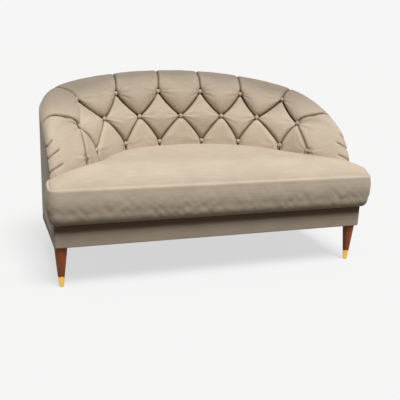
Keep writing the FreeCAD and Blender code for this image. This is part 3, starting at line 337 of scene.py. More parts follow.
# %% [markdown]
# The padded back, the outside and the cushion all follow the tub. It is drawn in plan as three tangent
# lines: a shallow arc along the back, a rounder one in the corner, and a straight side. A curve object
# could hold them, but places and directions along them are needed as numbers. One such line for each
# row of buttons and one for the crest of the roll set the lean of the back. They are the CAD's own
# lines, in millimetres.

# %% Plan lines of the tub
MM = 0.001
FRONT_Y = -365.5
DECK_Z = 286.0
UP = np.array((0.0, 0.0, 1.0))
MIRROR = np.array((-1.0, 1.0, 1.0))
SIDES = (np.ones(3), MIRROR)


class TubLine:
    """The right half of a tub in plan."""

    def __init__(self, half_width, back_y, corner_radius, back_radius):
        self.half_width = half_width
        self.back_y = back_y
        self.corner_radius = corner_radius
        self.back_radius = back_radius
        self.corner_x = half_width - corner_radius
        reach = math.sqrt((back_radius - corner_radius) ** 2 - self.corner_x ** 2)
        self.corner_y = back_y - back_radius + reach
        self.turn = math.atan2(self.corner_x, reach)
        self.back_run = back_radius * self.turn
        self.side_run = self.back_run + corner_radius * (math.pi / 2 - self.turn)

    def offset(self, distance):
        """The line set out or in by a distance."""
        return TubLine(self.half_width + distance, self.back_y + distance,
                       self.corner_radius + distance, self.back_radius + distance)

    def at(self, run):
        """Place and outward direction at a run from the middle of the back."""
        if run > self.side_run:
            return np.array((self.half_width, self.corner_y - run + self.side_run, 0)), np.array((1.0, 0, 0))
        if run > self.back_run:
            angle = self.turn + (run - self.back_run) / self.corner_radius
            centre, radius = np.array((self.corner_x, self.corner_y, 0)), self.corner_radius
        else:
            angle = run / self.back_radius
            centre, radius = np.array((0, self.back_y - self.back_radius, 0)), self.back_radius
        outward = np.array((math.sin(angle), math.cos(angle), 0))
        return centre + outward * radius, outward


crest = TubLine(half_width=672, back_y=334.5, corner_radius=210, back_radius=3500)
top_row = TubLine(half_width=640, back_y=280.5, corner_radius=320, back_radius=3000)
middle_row = TubLine(half_width=570, back_y=240.5, corner_radius=300, back_radius=2130)
bottom_row = TubLine(half_width=550, back_y=232.5, corner_radius=430, back_radius=950)
pad_foot = bottom_row.offset(-6)
print("crest runs", round(crest.side_run), "mm from the middle of the back to the arm")

# %% [markdown]
# Buttons are sewn through the back in three rows, and those of one row sit between those of the next,
# which is what makes diamonds. They could be set by hand on the CAD surface. Here each has a station, a
# whole number in the middle row and a half above and below, with its run along the row. So a patch can
# name the buttons at its corners. Each place keeps the inward direction there.


# %% Rows of buttons
def button_row(line, runs, rise, droop):
    """Each station's place and inward direction; the row droops towards its last button."""
    last_run = max(runs.values())
    row = {}
    for station, run in runs.items():
        place, outward = line.at(run)
        row[station] = place + UP * (DECK_Z + rise - droop * (run / last_run) ** 2), -outward
    return row


BOTTOM_RUNS = {0.5: 114, 1.5: 307, 2.5: 532, 3.5: 704}
TOP = button_row(top_row, {0.5: 114, 1.5: 336, 2.5: 562}, rise=468, droop=31)
MIDDLE = button_row(middle_row, {0: 0, 1: 220, 2: 410, 3: 641}, rise=348, droop=13)
BOTTOM = button_row(bottom_row, BOTTOM_RUNS, rise=220, droop=0)
print("buttons:", 2 * (len(MIDDLE) + len(TOP) + len(BOTTOM)) - 1)

# %% [markdown]
# Over the top row the pad rolls outwards. The crest of this roll is level across the back and sweeps
# down to the arms, and a seam under it joins the pad to the outside cover. Both could be curve objects.
# As functions of the run from the middle of the back they can be asked for any stretch, and a run to
# the left, which is negative, gives the mirror image.

# %% Lines along the roll
STATIONS = [0, 0.5, 1, 1.5, 2, 2.5, 3]
CREST_RUNS = {0: 0, 0.5: 108, 1.5: 335, 2.5: 630, 3: 925}
CREST_RISE = 568
CREST_FALL = 174
COVER_REACH = 48
COVER_FLARE = 3
COVER_HOLLOW = 6
COVER_RISE = 314
BACK_FLARE = 10.0
SEAM_DROP = 50


def run_at(runs, station):
    """The run of a station, half way between its neighbours where it has no button."""
    if station in runs:
        return runs[station]
    return (runs[station - 0.5] + runs[station + 0.5]) / 2


def on_side(run, point):
    """A point of the right half, or its mirror image where the run is negative."""
    return point if run >= 0 else point * MIRROR


def crest_z(run):
    """The crest is level across the back and sweeps down to the arms."""
    return DECK_Z + CREST_RISE - CREST_FALL * (abs(run) / CREST_RUNS[3]) ** 2.1


def cover_reach(z):
    """How far the outside stands out from the crest line: drawn in between the base and the roll."""
    share = min(1, max(0, (z - DECK_Z) / COVER_RISE))
    return COVER_REACH + COVER_FLARE * share - COVER_HOLLOW * math.sin(math.pi * share)


def along_roll(reach, drop):
    """A line along the roll, at a reach outside the crest and a drop below it."""
    def line(run):
        place, outward = crest.at(abs(run))
        return on_side(run, place + outward * reach + UP * (crest_z(run) - drop))
    return line


def seam_line(run):
    """The outer seam, where the padded back meets the outside cover."""
    place, outward = crest.at(abs(run))
    z = crest_z(run) - SEAM_DROP
    flare = BACK_FLARE * outward[1] ** 2
    return on_side(run, place + outward * (cover_reach(z) + flare) + UP * z)


crest_line = along_roll(reach=0, drop=0)
CREST_AT = {station: run_at(CREST_RUNS, station) for station in STATIONS}
print("crest at", round(crest_z(0)), "mm in the middle and", round(crest_z(CREST_RUNS[3])), "at the arm")

# %% [markdown]
# The pad ends on the deck behind the cushion, and its hidden side lies against the frame. That side
# could be left open. It is closed with plain strips along four more lines, so that the pad is a true
# solid with a thickness.

# %% Foot and hidden side of the pad
PAD_THICKNESS = 64


def foot_line(run):
    """The visible foot of the pad, on the deck."""
    return on_side(run, pad_foot.at(abs(run))[0] + UP * DECK_Z)


def back_foot_line(run):
    """The hidden foot of the pad, square behind its visible foot."""
    place, outward = pad_foot.at(abs(run))
    return on_side(run, place + outward * PAD_THICKNESS + UP * DECK_Z)


lip_line = along_roll(reach=29, drop=52)
rail_line = along_roll(reach=-27, drop=52)
FOOT_RUNS = {0: 0, **BOTTOM_RUNS}
FOOT_AT = {station: run_at(FOOT_RUNS, station) for station in STATIONS + [3.5]}
print("pad foot runs", FOOT_AT[3.5], "mm to the last button")

# %% [markdown]
# Between the buttons the cloth is a quilt of patches. They could be sculpted, but then no pleat would
# lie exactly between its buttons. Each patch has four cubic edges, and an edge is four poles: start,
# two handles and end. The pleats between two buttons bow a little.

# %% Edges of the patches
CREASE_LIFT = 5
CREASE_BOW = 0.35
LONG_HANDLE = 1.1
SHORT_HANDLE = 0.9


def unit(vector):
    """A direction, as a vector of length 1."""
    return vector / np.linalg.norm(vector)


def cubic(start, end, leave, arrive):
    """Four poles, from two ends and the handles there."""
    return [start, start + leave, end - arrive, end]


def straight(start, end):
    """Four poles on a straight line."""
    return cubic(start, end, (end - start) / 3, (end - start) / 3)


def along(line, start, end):
    """Four poles that follow a line between two runs."""
    step = (end - start) / 3
    nudge = (end - start) / 100
    leave = (line(start + nudge) - line(start - nudge)) / (2 * nudge) * step
    arrive = (line(end + nudge) - line(end - nudge)) / (2 * nudge) * step
    return cubic(line(start), line(end), leave, arrive)


def crease(start, end):
    """A valley from a middle button to one above or below, bowed, and a little prouder half way."""
    third = (end[0] - start[0]) / 3
    lift = unit(start[1] + end[1]) * CREASE_LIFT
    bow = UP * third[2] * CREASE_BOW
    return cubic(start[0], end[0], third * LONG_HANDLE - bow + lift, third * SHORT_HANDLE + bow - lift)


print("a pleat spans", round(np.linalg.norm(TOP[0.5][0] - MIDDLE[0][0])), "mm between two buttons")

# %% [markdown]
# Other edges cross the roll: up from the wall, along the crest, which dips at each pleat, and down to
# the outer seam. A last kind goes from a button down to the deck. Arcs would make all of them equally
# round. Handles of different lengths give a roll that rises steeply and arrives level.

# %% Edges over the roll
PLEATS = (0.5, 1.5, 2.5, 3)
PLEAT_DIP = 2.0
STEEP_HANDLE = 0.42
LEVEL_HANDLE = 0.62
SEAM_HANDLE = 0.6
WALL_HANDLE = 0.3


def crest_point(station):
    """A place on the crest, lower at the pleats."""
    return crest_line(CREST_AT[station]) - UP * (PLEAT_DIP if station in PLEATS else 0)


def over_roll(low, station, swell):
    """From the wall up to the crest, arriving level."""
    outward = crest.at(CREST_AT[station])[1]
    high = crest_point(station)
    rise = high[2] - low[2]
    level = max(np.dot(high - low, outward), rise / 2)
    return cubic(low, high, UP * (rise * STEEP_HANDLE) - outward * swell,
                 outward * (level * LEVEL_HANDLE + swell / 2))


def down_roll(station):
    """From the crest out and down to the seam."""
    outward = crest.at(CREST_AT[station])[1]
    high, low = crest_point(station), seam_line(CREST_AT[station])
    reach = np.dot(low - high, outward)
    return cubic(high, low, outward * reach * SEAM_HANDLE, UP * -(high[2] - low[2]) * SEAM_HANDLE)


def crest_edge(start, end):
    """The crest between two stations, dipping at the pleats."""
    poles = along(crest_line, CREST_AT[start], CREST_AT[end])
    dips = [PLEAT_DIP if station in PLEATS else 0 for station in (start, start, end, end)]
    return [pole - UP * dip * share for pole, dip, share in zip(poles, dips, (1, 0.2, 0.2, 1))]


def down_wall(top, station, swell_high, swell_low):
    """From a button down to the foot of the pad."""
    point, inward = top
    foot = foot_line(FOOT_AT[station])
    fall = UP * ((foot[2] - point[2]) * WALL_HANDLE)
    return cubic(point, foot, fall + inward * swell_high, fall - inward * swell_low)


print("the crest dips", PLEAT_DIP, "mm at", len(PLEATS), "pleats on each half")

# %% [markdown]
# A diamond is the full cell between four buttons, the plump form that gives deep buttoning its look. A
# box that is subdivided would give a pillow, but not these edges. A net of poles keeps its four edges
# exactly, and the poles inside swell it by one number.

# %% Diamonds
PUFF = 32.0
DIAMOND_SWELL = PUFF * 1.45


def quilt(low, right, high, left, swell=None):
    """A net of poles inside four edges; low and high run one way, left and right the other."""
    net = np.zeros((4, 4, 3))
    for i in range(4):
        for j in range(4):
            u, v = i / 3, j / 3
            ruled = low[i] * (1 - v) + high[i] * v + left[j] * (1 - u) + right[j] * u
            corners = (low[0] * (1 - u) + low[3] * u) * (1 - v) + (high[0] * (1 - u) + high[3] * u) * v
            net[i, j] = ruled - corners
            if swell and 0 < i < 3 and 0 < j < 3:
                net[i, j] += swell(i, j)
    return net


def diamond(station):
    """A full diamond between four buttons."""
    low, high = BOTTOM[station], TOP[station]
    near, far = MIDDLE[station - 0.5], MIDDLE[station + 0.5]
    inward = unit(near[1] + far[1])
    return quilt(crease(near, low), crease(far, low)[::-1], crease(far, high)[::-1], crease(near, high),
                 lambda i, j: inward * DIAMOND_SWELL)


diamonds = [diamond(station) for station in TOP]
print("diamonds on each half:", len(diamonds))

# %% [markdown]
# Above and below the diamonds the cells are open: they run on over the roll, or down behind the cushion.
# One net for such a cell would have five edges, so each is made as two halves that meet on its centre
# line. The centre line of a lower cell has to stand in front of the two buttons beside it, or the cell
# would look like a tent.

# %% Half cells
PLEAT_SWELL = PUFF * 0.15
FOOT_SWELL = PUFF * 0.1
CENTRE_SWELL = PUFF * 1.1
BELLY_PROUD = PUFF * 0.5
BELLY_SHARE = 0.57


def upper_half(station, pleat):
    """Half of the cell above a middle button, from its centre line to a pleat."""
    button, inward = MIDDLE[station]
    centre = over_roll(button, station, CENTRE_SWELL)
    fold = over_roll(TOP[pleat][0], pleat, PLEAT_SWELL)
    top = crest_edge(station, pleat) if pleat > station else crest_edge(pleat, station)[::-1]
    shares = {1: 0.42, 2: 0.5}
    return quilt(crease(MIDDLE[station], TOP[pleat]), fold, top, centre,
                 lambda i, j: inward * (PUFF * shares[i] * (1.3 if j == 1 else 0.7)))


def belly(station):
    """The centre line of a lower cell, proud of the chord between the two buttons beside it."""
    point, inward = MIDDLE[station]
    beside = BOTTOM[station - 0.5][0] if station else BOTTOM[0.5][0] * MIRROR
    chord = (beside + BOTTOM[station + 0.5][0]) / 2
    foot = foot_line(FOOT_AT[station])
    share = (point[2] - chord[2]) / (point[2] - foot[2])
    hollow = np.dot(chord - point - (foot - point) * share, inward)
    swell = (hollow + BELLY_PROUD) / BELLY_SHARE
    return down_wall(MIDDLE[station], station, swell, swell / 2)


def lower_half(station, pleat):
    """Half of the cell below a middle button, from its centre line to a fold."""
    inward = MIDDLE[station][1]
    fold = down_wall(BOTTOM[pleat], pleat, FOOT_SWELL, 0)
    foot = along(foot_line, FOOT_AT[station], FOOT_AT[pleat])
    return quilt(crease(MIDDLE[station], BOTTOM[pleat]), fold, foot, belly(station),
                 lambda i, j: inward * (PUFF * (0.6 if j == 1 else 0.4)))


def halves(make, stations):
    """The halves of the cells at some stations, by station and side."""
    return {(station, side): make(station, station + side)
            for station in stations for side in (-0.5, 0.5) if station + side > 0}


upper_cells = halves(upper_half, (0, 1, 2))
lower_cells = halves(lower_half, (0, 1, 2, 3))
print("half cells above and below:", len(upper_cells), len(lower_cells))

# %% [markdown]
# In front each arm ends in a rounded nose: the cloth is drawn from the last buttons round the front and
# sewn to the outside cover along a curved seam. It could be a bevel on the end of the pad, but a bevel
# has one radius. Here three edges run from the wall to the seam, each with handles of its own.


# %% Edges of the arm front
def nose_point(setback, rise):
    """A place on the outer seam of the arm, from the border's face and over the deck."""
    z = DECK_Z + rise
    return np.array((crest.half_width + cover_reach(z), FRONT_Y + setback, z))


nose_high = nose_point(setback=215, rise=287)
nose_low = nose_point(setback=125, rise=164)
nose_foot = nose_point(setback=80, rise=0)
seam_points = [seam_line(CREST_AT[2.5]), seam_line(CREST_AT[3]), nose_high, nose_low, nose_foot]
slopes = [(seam_points[min(n + 1, 4)] - seam_points[max(n - 1, 0)]) / 2 for n in range(5)]
arm_seam = [cubic(seam_points[n], seam_points[n + 1], slopes[n] / 3, slopes[n + 1] / 3) for n in (1, 2, 3)]
SEAM_RUN_ON = 300
SEAM_PULL = 0.4
onward = along(seam_line, CREST_AT[3], CREST_AT[3] + SEAM_RUN_ON)[1] - arm_seam[0][0]
arm_seam[0][1] = arm_seam[0][0] + onward * SEAM_PULL
foot_end = foot_line(FOOT_AT[3.5])
nose_high_edge = cubic(MIDDLE[3][0], nose_high, np.array((60, -40, 40)), np.array((0, 63, -63)))
nose_low_edge = cubic(BOTTOM[3.5][0], nose_low, np.array((70, -80, 8)), np.array((0, 85.5, 0)))
nose_foot_edge = cubic(foot_end, nose_foot, np.array((58, -66, 0)), np.array((0, 72, 0)))
print("arm front from", [round(v) for v in nose_high], "to", [round(v) for v in nose_foot])

# %% [markdown]
# Beside the corner one large cell lies between the last pleats, and under it the nose has three patches
# from the crest down to the deck. One patch for the whole nose could not hold the edges that run across
# it. All of them swell a little: the cell away from the wall, the nose inwards, forwards and up.

# %% Arm patches
ARM_SWELL = np.array((-0.35, -0.75, 0.5)) * PUFF
arm_fold = over_roll(MIDDLE[3][0], 3, PLEAT_SWELL)
corner_fold = over_roll(TOP[2.5][0], 2.5, PLEAT_SWELL)
low_fold = down_wall(BOTTOM[3.5], 3.5, FOOT_SWELL, 0)
arm_inward = unit(TOP[2.5][1] + MIDDLE[3][1])
arm_cell = quilt(crease(MIDDLE[3], TOP[2.5])[::-1], arm_fold, crest_edge(2.5, 3), corner_fold,
                 lambda i, j: (arm_inward + UP * 0.4) * (PUFF * (1.4 if i == 1 else 0.8)))
nose_upper = quilt(arm_fold, down_roll(3), arm_seam[0][::-1], nose_high_edge,
                   lambda i, j: ARM_SWELL * 0.8)
nose_middle = quilt(crease(MIDDLE[3], BOTTOM[3.5]), nose_low_edge, arm_seam[1], nose_high_edge,
                    lambda i, j: ARM_SWELL * 0.6)
nose_lower = quilt(low_fold, nose_foot_edge, arm_seam[2], nose_low_edge,
                   lambda i, j: ARM_SWELL * 0.4)
arm_nets = [arm_cell, nose_upper, nose_middle, nose_lower]
print("arm patches:", len(arm_nets))

# %% [markdown]
# The outside of the roll goes from the crest down to the seam. From there hidden strips run under the
# roll, down behind the pad and back to its foot. A modifier could give the skin a thickness instead,
# but it would follow the pleats and cut into itself.

# %% Outside of the roll and hidden strips
outer_roll = {}
hidden = []
for start, end in zip(STATIONS, STATIONS[1:]):
    runs = CREST_AT[start], CREST_AT[end]
    outer_roll[start] = quilt(crest_edge(start, end), down_roll(end),
                              along(seam_line, *runs), down_roll(start))
    edges = [along(line, *runs) for line in (seam_line, lip_line, rail_line)]
    edges += [along(line, FOOT_AT[start], FOOT_AT[end]) for line in (back_foot_line, foot_line)]
    hidden += list(zip(edges, edges[1:]))
plane_high, plane_low = rail_line(CREST_AT[3]), back_foot_line(FOOT_AT[3])


def on_plane(start, end, z):
    """Where an arm-front edge passes the hidden plane behind the arm, at a height."""
    share = (z - plane_low[2]) / (plane_high[2] - plane_low[2])
    x = plane_low[0] + (plane_high[0] - plane_low[0]) * share
    return np.array((x, start[1] + (end[1] - start[1]) / (end[0] - start[0]) * (x - start[0]), z))


inner_points = [plane_high, on_plane(MIDDLE[3][0], nose_high, nose_high[2]),
                on_plane(BOTTOM[3.5][0], nose_low, nose_low[2]), on_plane(foot_end, nose_foot, DECK_Z)]
inner_edges = [straight(a, b) for a, b in zip(inner_points, inner_points[1:])]
LIP_STEP = np.array((-14, -2, 0))
lip_edges = [[pole + LIP_STEP for pole in edge] for edge in arm_seam]
lip_edges[0][0] = lip_line(CREST_AT[3])
for seam, lip, inner in zip(arm_seam, lip_edges, inner_edges):
    hidden += [(seam, lip), (lip, inner)]
print(len(hidden), "hidden strips on each half")

# %% [markdown]
# Patches that share a line without a pleat must meet smoothly, or the light shows a ridge there. A
# smoothing brush would also wash out the pleats. So the poles on either side of such a line are turned
# until they lie in one line with the pole between.


# %% Smooth joins
def join_smoothly(net_a, net_b, row_a, row_b):
    """Level the poles beside a shared border; each row gives border and neighbour for one index."""
    for (border_a, near_a), (_, near_b) in list(zip(row_a, row_b))[1:3]:
        pole, before, after = net_a[border_a], net_a[near_a], net_b[near_b]
        if np.allclose(before, after):
            continue
        heading = unit(after - before)
        net_a[near_a] = pole - heading * np.linalg.norm(pole - before)
        net_b[near_b] = pole + heading * np.linalg.norm(after - pole)


def border(side, back_to_front=False):
    """Index pairs of a net along one side: the border pole and the pole next to it."""
    pairs = {"low": [((n, 0), (n, 1)) for n in range(4)],
             "high": [((n, 3), (n, 2)) for n in range(4)],
             "left": [((0, n), (1, n)) for n in range(4)],
             "right": [((3, n), (2, n)) for n in range(4)]}[side]
    return pairs[::-1] if back_to_front else pairs


for cells in (upper_cells, lower_cells):
    for station in (1, 2, 3):
        if (station, 0.5) in cells:
            join_smoothly(cells[station, -0.5], cells[station, 0.5], border("left"), border("left"))
    join_smoothly(cells[0, 0.5], cells[0, 0.5] * MIRROR, border("left"), border("left"))
for (station, side), cell in upper_cells.items():
    first = min(station, station + side)
    join_smoothly(cell, outer_roll[first], border("high", side < 0), border("low"))
join_smoothly(arm_cell, outer_roll[2.5], border("high"), border("low"))
join_smoothly(nose_upper, nose_middle, border("left"), border("left"))
join_smoothly(nose_middle, nose_lower, border("right"), border("left"))
nets = diamonds + list(upper_cells.values()) + list(lower_cells.values())
nets += list(outer_roll.values()) + arm_nets
print(len(nets), "patches on each half")

# %% [markdown]
# Now the nets become a mesh. Blender's own surface objects could show them, but a mesh can be drawn in
# at the pleats afterwards. Points are spaced closely near each patch's border, because that is where
# the cloth dives into a pleat.

# %% Points of a patch
BORDER_SHARE = 0.75
EVEN = np.linspace(0, 1, 43)
SHARES = BORDER_SHARE * (0.5 - 0.5 * np.cos(math.pi * EVEN)) + (1 - BORDER_SHARE) * EVEN


def weights(shares):
    """Cubic weights of four poles, for each share along an edge."""
    rest = 1 - shares
    return np.stack((rest ** 3, 3 * rest ** 2 * shares, 3 * rest * shares ** 2, shares ** 3), axis=1)


WEIGHTS = weights(SHARES)


def on_edge(poles):
    """The points of an edge."""
    return WEIGHTS @ np.array(poles)


def add_grid(bm, grid):
    """Quads over a grid of points in millimetres."""
    rows = [[bm.verts.new(point * MM) for point in row] for row in grid]
    for near, far in zip(rows, rows[1:]):
        for a, b, c, d in zip(near, near[1:], far[1:], far):
            bm.faces.new((a, b, c, d))


print("points along each edge:", len(SHARES))

# %% [markdown]
# All patches of both halves go into one mesh. They could stay separate objects, but then light would
# show every border. Borders are shared, so merging near points closes the pad, and a count of the edges
# without two faces tells whether it did.


# %% Mesh of the padded back
def finish_mesh(bm, name, merge=0.00004):
    """Merge shared borders, turn faces outwards and make the object."""
    bmesh.ops.remove_doubles(bm, verts=bm.verts, dist=merge)
    bmesh.ops.dissolve_degenerate(bm, edges=bm.edges, dist=merge / 4)
    bmesh.ops.recalc_face_normals(bm, faces=bm.faces)
    if bm.calc_volume(signed=True) < 0:
        bmesh.ops.reverse_faces(bm, faces=bm.faces)
    open_edges = sum(1 for edge in bm.edges if len(edge.link_faces) != 2)
    print(name, "has", open_edges, "open edges and holds", round(bm.calc_volume() * 1000, 2), "litres")
    mesh = bpy.data.meshes.new(name)
    bm.to_mesh(mesh)
    bm.free()
    mesh.polygons.foreach_set("use_smooth", [True] * len(mesh.polygons))
    piece = bpy.data.objects.new(name, mesh)
    bpy.context.collection.objects.link(piece)
    return piece


base_end = [along(foot_line, FOOT_AT[3], FOOT_AT[3.5]), nose_foot_edge]
base_corners = [nose_foot, lip_edges[-1][-1], inner_points[-1], plane_low]
foot_face = np.concatenate([on_edge(edge)[:-1] for edge in base_end] + [base_corners])
side_face = np.concatenate([on_edge(edge)[:-1] for edge in inner_edges] + [[inner_points[-1], plane_low]])
bm = bmesh.new()
for flip in SIDES:
    for net in nets:
        add_grid(bm, np.einsum("ui,vj,ijk->uvk", WEIGHTS, WEIGHTS, net) * flip)
    for edges in hidden:
        add_grid(bm, np.stack([on_edge(edge) for edge in edges]) * flip)
    for outline in (side_face, foot_face):
        bm.faces.new([bm.verts.new(point * flip * MM) for point in outline])
tufted_back = finish_mesh(bm, "tufted_inside_back", merge=0.000004)
print("padded back:", len(tufted_back.data.polygons), "faces")

# %% [markdown]
# A pleat is a fold where the cloth turns in on itself, so it shows as a thin dark line. It is deep
# between the buttons and softer over the roll and on the arm. The folds could be cut into the mesh as
# edges. Lines beside the mesh are enough, because they only have to say how near a point is to a fold.


# %% Lines of the pleats
def neighbours(row, last):
    """Pairs of a middle button and a button of another row beside it, up to a last station."""
    pairs = [(station, station + side) for station in MIDDLE for side in (-0.5, 0.5)]
    return [(MIDDLE[station], row[beside]) for station, beside in pairs if beside in row and beside < last]


pleats = [crease(*pair) for pair in neighbours(TOP, 3) + neighbours(BOTTOM, 3)]
pleats += [down_wall(BOTTOM[station], station, FOOT_SWELL, 0) for station in BOTTOM if station < 3]
soft_pleats = [over_roll(TOP[station][0], station, PLEAT_SWELL) for station in TOP]
soft_pleats += [down_roll(station) for station in PLEATS]
soft_pleats += [arm_fold, crease(MIDDLE[3], BOTTOM[3.5]), low_fold]
print(len(pleats), "pleats and", len(soft_pleats), "soft ones on each half")

# %% [markdown]
# On the arm front a few short slits run in from the outer seam, where spare cloth is folded away. They
# are given by a patch, a share along it and how far they reach. All folds become rows of points with a
# depth, and a search tree finds the nearest one for any place on the cloth, which is much faster than
# trying them all.

# %% Slits and search tree
PLEAT_DEPTH = 10.0
SOFT_DEPTH = 8.0
SLIT_DEPTH = 9.0
FINE = weights(np.linspace(0, 1, 160))


def on_net(net, u, v):
    """A point of a patch."""
    return weights(np.array([u]))[0] @ np.einsum("vj,ijk->ik", weights(np.array([v])), net)


def search_tree(points):
    """A tree that finds the nearest of some points."""
    tree = kdtree.KDTree(len(points))
    for index, point in enumerate(points):
        tree.insert(point, index)
    tree.balance()
    return tree


SLITS = [(nose_middle, 0.12, 0.78), (nose_middle, 0.5, 0.62), (nose_middle, 0.9, 0.6),
         (nose_lower, 0.45, 0.85)]
firm_lines = [FINE @ np.array(poles) for poles in pleats]
folded = [(line, PLEAT_DEPTH) for line in firm_lines]
folded += [(FINE @ np.array(poles), SOFT_DEPTH) for poles in soft_pleats]
for net, u, reach in SLITS:
    slit = np.array([on_net(net, u, 1 - (1 - reach) * share) for share in np.linspace(0, 1, 40)])
    folded.append((slit, SLIT_DEPTH))
pleat_points = np.concatenate([line for line, depth in folded])
pleat_depths = np.concatenate([np.full(len(line), depth) for line, depth in folded])
pleat_depths = np.concatenate([pleat_depths, pleat_depths])
pleat_tree = search_tree(np.concatenate([pleat_points, pleat_points * MIRROR]))
print(len(SLITS), "slits, and", len(pleat_depths), "points on folds")

# %% [markdown]
# A button pulls the cloth into a pit, and fine wrinkles run out from it, most of them sideways. Sculpted
# wrinkles would be livelier, but they would have to be made again after each change. Two sine waves
# round the button, each with a phase of its own, fade out over a hand's breadth.

# %% Button pits and wrinkles
PLEAT_WIDTH = 3.6
FOLD_SHADE_WIDTH = 2.4
PIT_DEPTH = 6
PIT_WIDTH = 15
WRINKLE_HEIGHT = 3.4
WRINKLE_REACH = 30
WRINKLE_END = 130
button_places = [pair for row in (MIDDLE, TOP, BOTTOM) for pair in row.values()]
button_places += [(place * MIRROR, inward * MIRROR) for place, inward in button_places if place[0] > 1]
button_tree = search_tree([place for place, inward in button_places])


def drawn_in(point):
    """How far the cloth lies under the smooth patch in millimetres, and the painted shade of a fold from 0 to
    1.
    """
    index, gap = pleat_tree.find(point)[1:]
    # The fold value is painted shade: it darkens the cloth's colour within a few millimetres of a pleat.
    fold = math.exp(-(gap / FOLD_SHADE_WIDTH) ** 1.5)
    depth = pleat_depths[index] * math.exp(-(gap / PLEAT_WIDTH) ** 1.3)
    place, index, reach = button_tree.find(point)
    depth += PIT_DEPTH * math.exp(-(reach / PIT_WIDTH) ** 2)
    if reach < WRINKLE_END:
        offset = np.array(point) - place
        angle = math.atan2(offset[2], np.dot(offset, np.cross(UP, button_places[index][1])))
        ripple = math.sin(angle * 11 + index * 1.7) + 0.6 * math.sin(angle * 17 - index * 2.3)
        sideways = 0.2 + 0.8 * math.cos(angle) ** 2
        fade = math.exp(-reach / WRINKLE_REACH)
        depth += ripple * WRINKLE_HEIGHT * sideways * (reach / WRINKLE_REACH) * fade
    return depth, fold


print("buttons on both halves:", len(button_places))

# %% [markdown]
# Before the pleats are drawn in, the cloth between them is relaxed: each point moves towards the middle
# of its neighbours, as a stretched cover does. Blender's smoothing would treat all points alike. Here
# each has a freedom, small near a pleat or a button and none on the hidden side.


# %% Relaxed cloth
def read_points(mesh, what):
    """Places or normals of all vertices as rows of an array."""
    numbers = np.zeros(3 * len(mesh.vertices))
    mesh.vertices.foreach_get(what, numbers)
    return numbers.reshape(-1, 3)


def relaxed(mesh, freedom, rounds):
    """Places of all vertices after moving each towards its neighbours' middle, by its freedom."""
    ends = np.zeros(2 * len(mesh.edges), dtype=int)
    mesh.edges.foreach_get("vertices", ends)
    a, b = ends[0::2], ends[1::2]
    count = len(mesh.vertices)
    degree = np.bincount(a, minlength=count) + np.bincount(b, minlength=count)
    points = read_points(mesh, "co")
    for _ in range(rounds):
        middle = np.stack([np.bincount(a, points[b, axis], count) + np.bincount(b, points[a, axis], count)
                           for axis in range(3)], axis=1) / degree[:, None]
        points = points + (middle - points) * freedom[:, None] * 0.5
    return points


PLEAT_STIFF, PLEAT_EASE = 3, 14
BUTTON_STIFF, BUTTON_EASE = 4, 20
LEAST_FREEDOM = 0.1
LOW_TOP, LOW_EASE = 600, 60
DRIFT_LENGTH, DRIFT_HEIGHT = 70, 1.2
ROUNDS, LOW_ROUNDS = 140, 200
mesh = tufted_back.data
points = read_points(mesh, "co")
firm = np.concatenate(firm_lines)
firm_tree = search_tree(np.concatenate([firm, firm * MIRROR]))
hidden_tree = search_tree(np.concatenate(
    [on_edge(edge) * flip for pair in hidden for edge in pair for flip in SIDES]))
gaps = np.array([firm_tree.find(point / MM)[2] for point in points])
reaches = np.array([button_tree.find(point / MM)[2] for point in points])
held = np.array([hidden_tree.find(point / MM)[2] < 0.1 for point in points])
freedom = np.clip((gaps - PLEAT_STIFF) / PLEAT_EASE, LEAST_FREEDOM, 1)
freedom = freedom * np.clip((reaches - BUTTON_STIFF) / BUTTON_EASE, 0, 1) * ~held
low_part = freedom * np.clip((LOW_TOP - points[:, 2] / MM) / LOW_EASE, 0, 1)
made = [drawn_in(point / MM) for point in points]
drift = [noise.noise(point / MM / DRIFT_LENGTH) * DRIFT_HEIGHT for point in points]
for free, rounds in ((freedom, ROUNDS), (low_part, LOW_ROUNDS)):
    mesh.vertices.foreach_set("co", relaxed(mesh, free, rounds).ravel())
    mesh.update()
print("relaxed:", int((freedom > 0).sum()), "of", len(points), "points")

# %% [markdown]
# At last each point moves along its normal: in at the pleats and buttons, and out a little in between,
# where relaxing has made the cells flatter. A displacement texture could do it in the finish, but the
# outline of the crest would stay smooth. How deep a point lies in a fold, and how far the crest has
# turned up there, goes into the two attributes that the cloth reads as painted shade: dark in the
# folds, and darker on the crest of the roll.

# %% Drawn-in pleats
CREST_FACING = np.array((0, 0.2, 0.98))
CELL_SWELL, LOW_SWELL = 2.5, 4
CREST_SHADE_FROM, CREST_SHADE_EASE = 640, 130
points = read_points(mesh, "co")
normals = read_points(mesh, "normal")
depths = np.array([depth for depth, fold in made]) - np.array(drift)
depths = depths - freedom * CELL_SWELL - low_part * LOW_SWELL
folds = np.array([fold for depth, fold in made])
# Painted shade on the crest: the more a high point faces upwards, the darker its colour.
crest_turn = np.clip((normals @ CREST_FACING - 0.1) / 0.6, 0, 1)
painted_crest_shades = crest_turn * np.clip((points[:, 2] / MM - CREST_SHADE_FROM) / CREST_SHADE_EASE, 0, 1)
mesh.vertices.foreach_set("co", (points - normals * depths[:, None] * MM).ravel())
# Both attributes hold painted shade, which the cloth multiplies into its colour.
mesh.attributes.new("fold", "FLOAT", "POINT").data.foreach_set("value", folds)
mesh.attributes.new("painted_crest_shade", "FLOAT", "POINT").data.foreach_set("value", painted_crest_shades)
mesh.update()
tufted_back.data.materials.append(upholstery)
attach(tufted_back, "frame")
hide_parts("inside_back")
print("deepest point of a pleat:", round(depths.max(), 1), "mm")

# %% [markdown]
# Covered buttons are small domes of the same cloth, pressed over a metal cap. Each could be an instance,
# but the buttons are one piece of the frame. So one dome is modelled from a sphere that is cut in half,
# and flattened copies of it, tilted up a little, are gathered in one mesh.

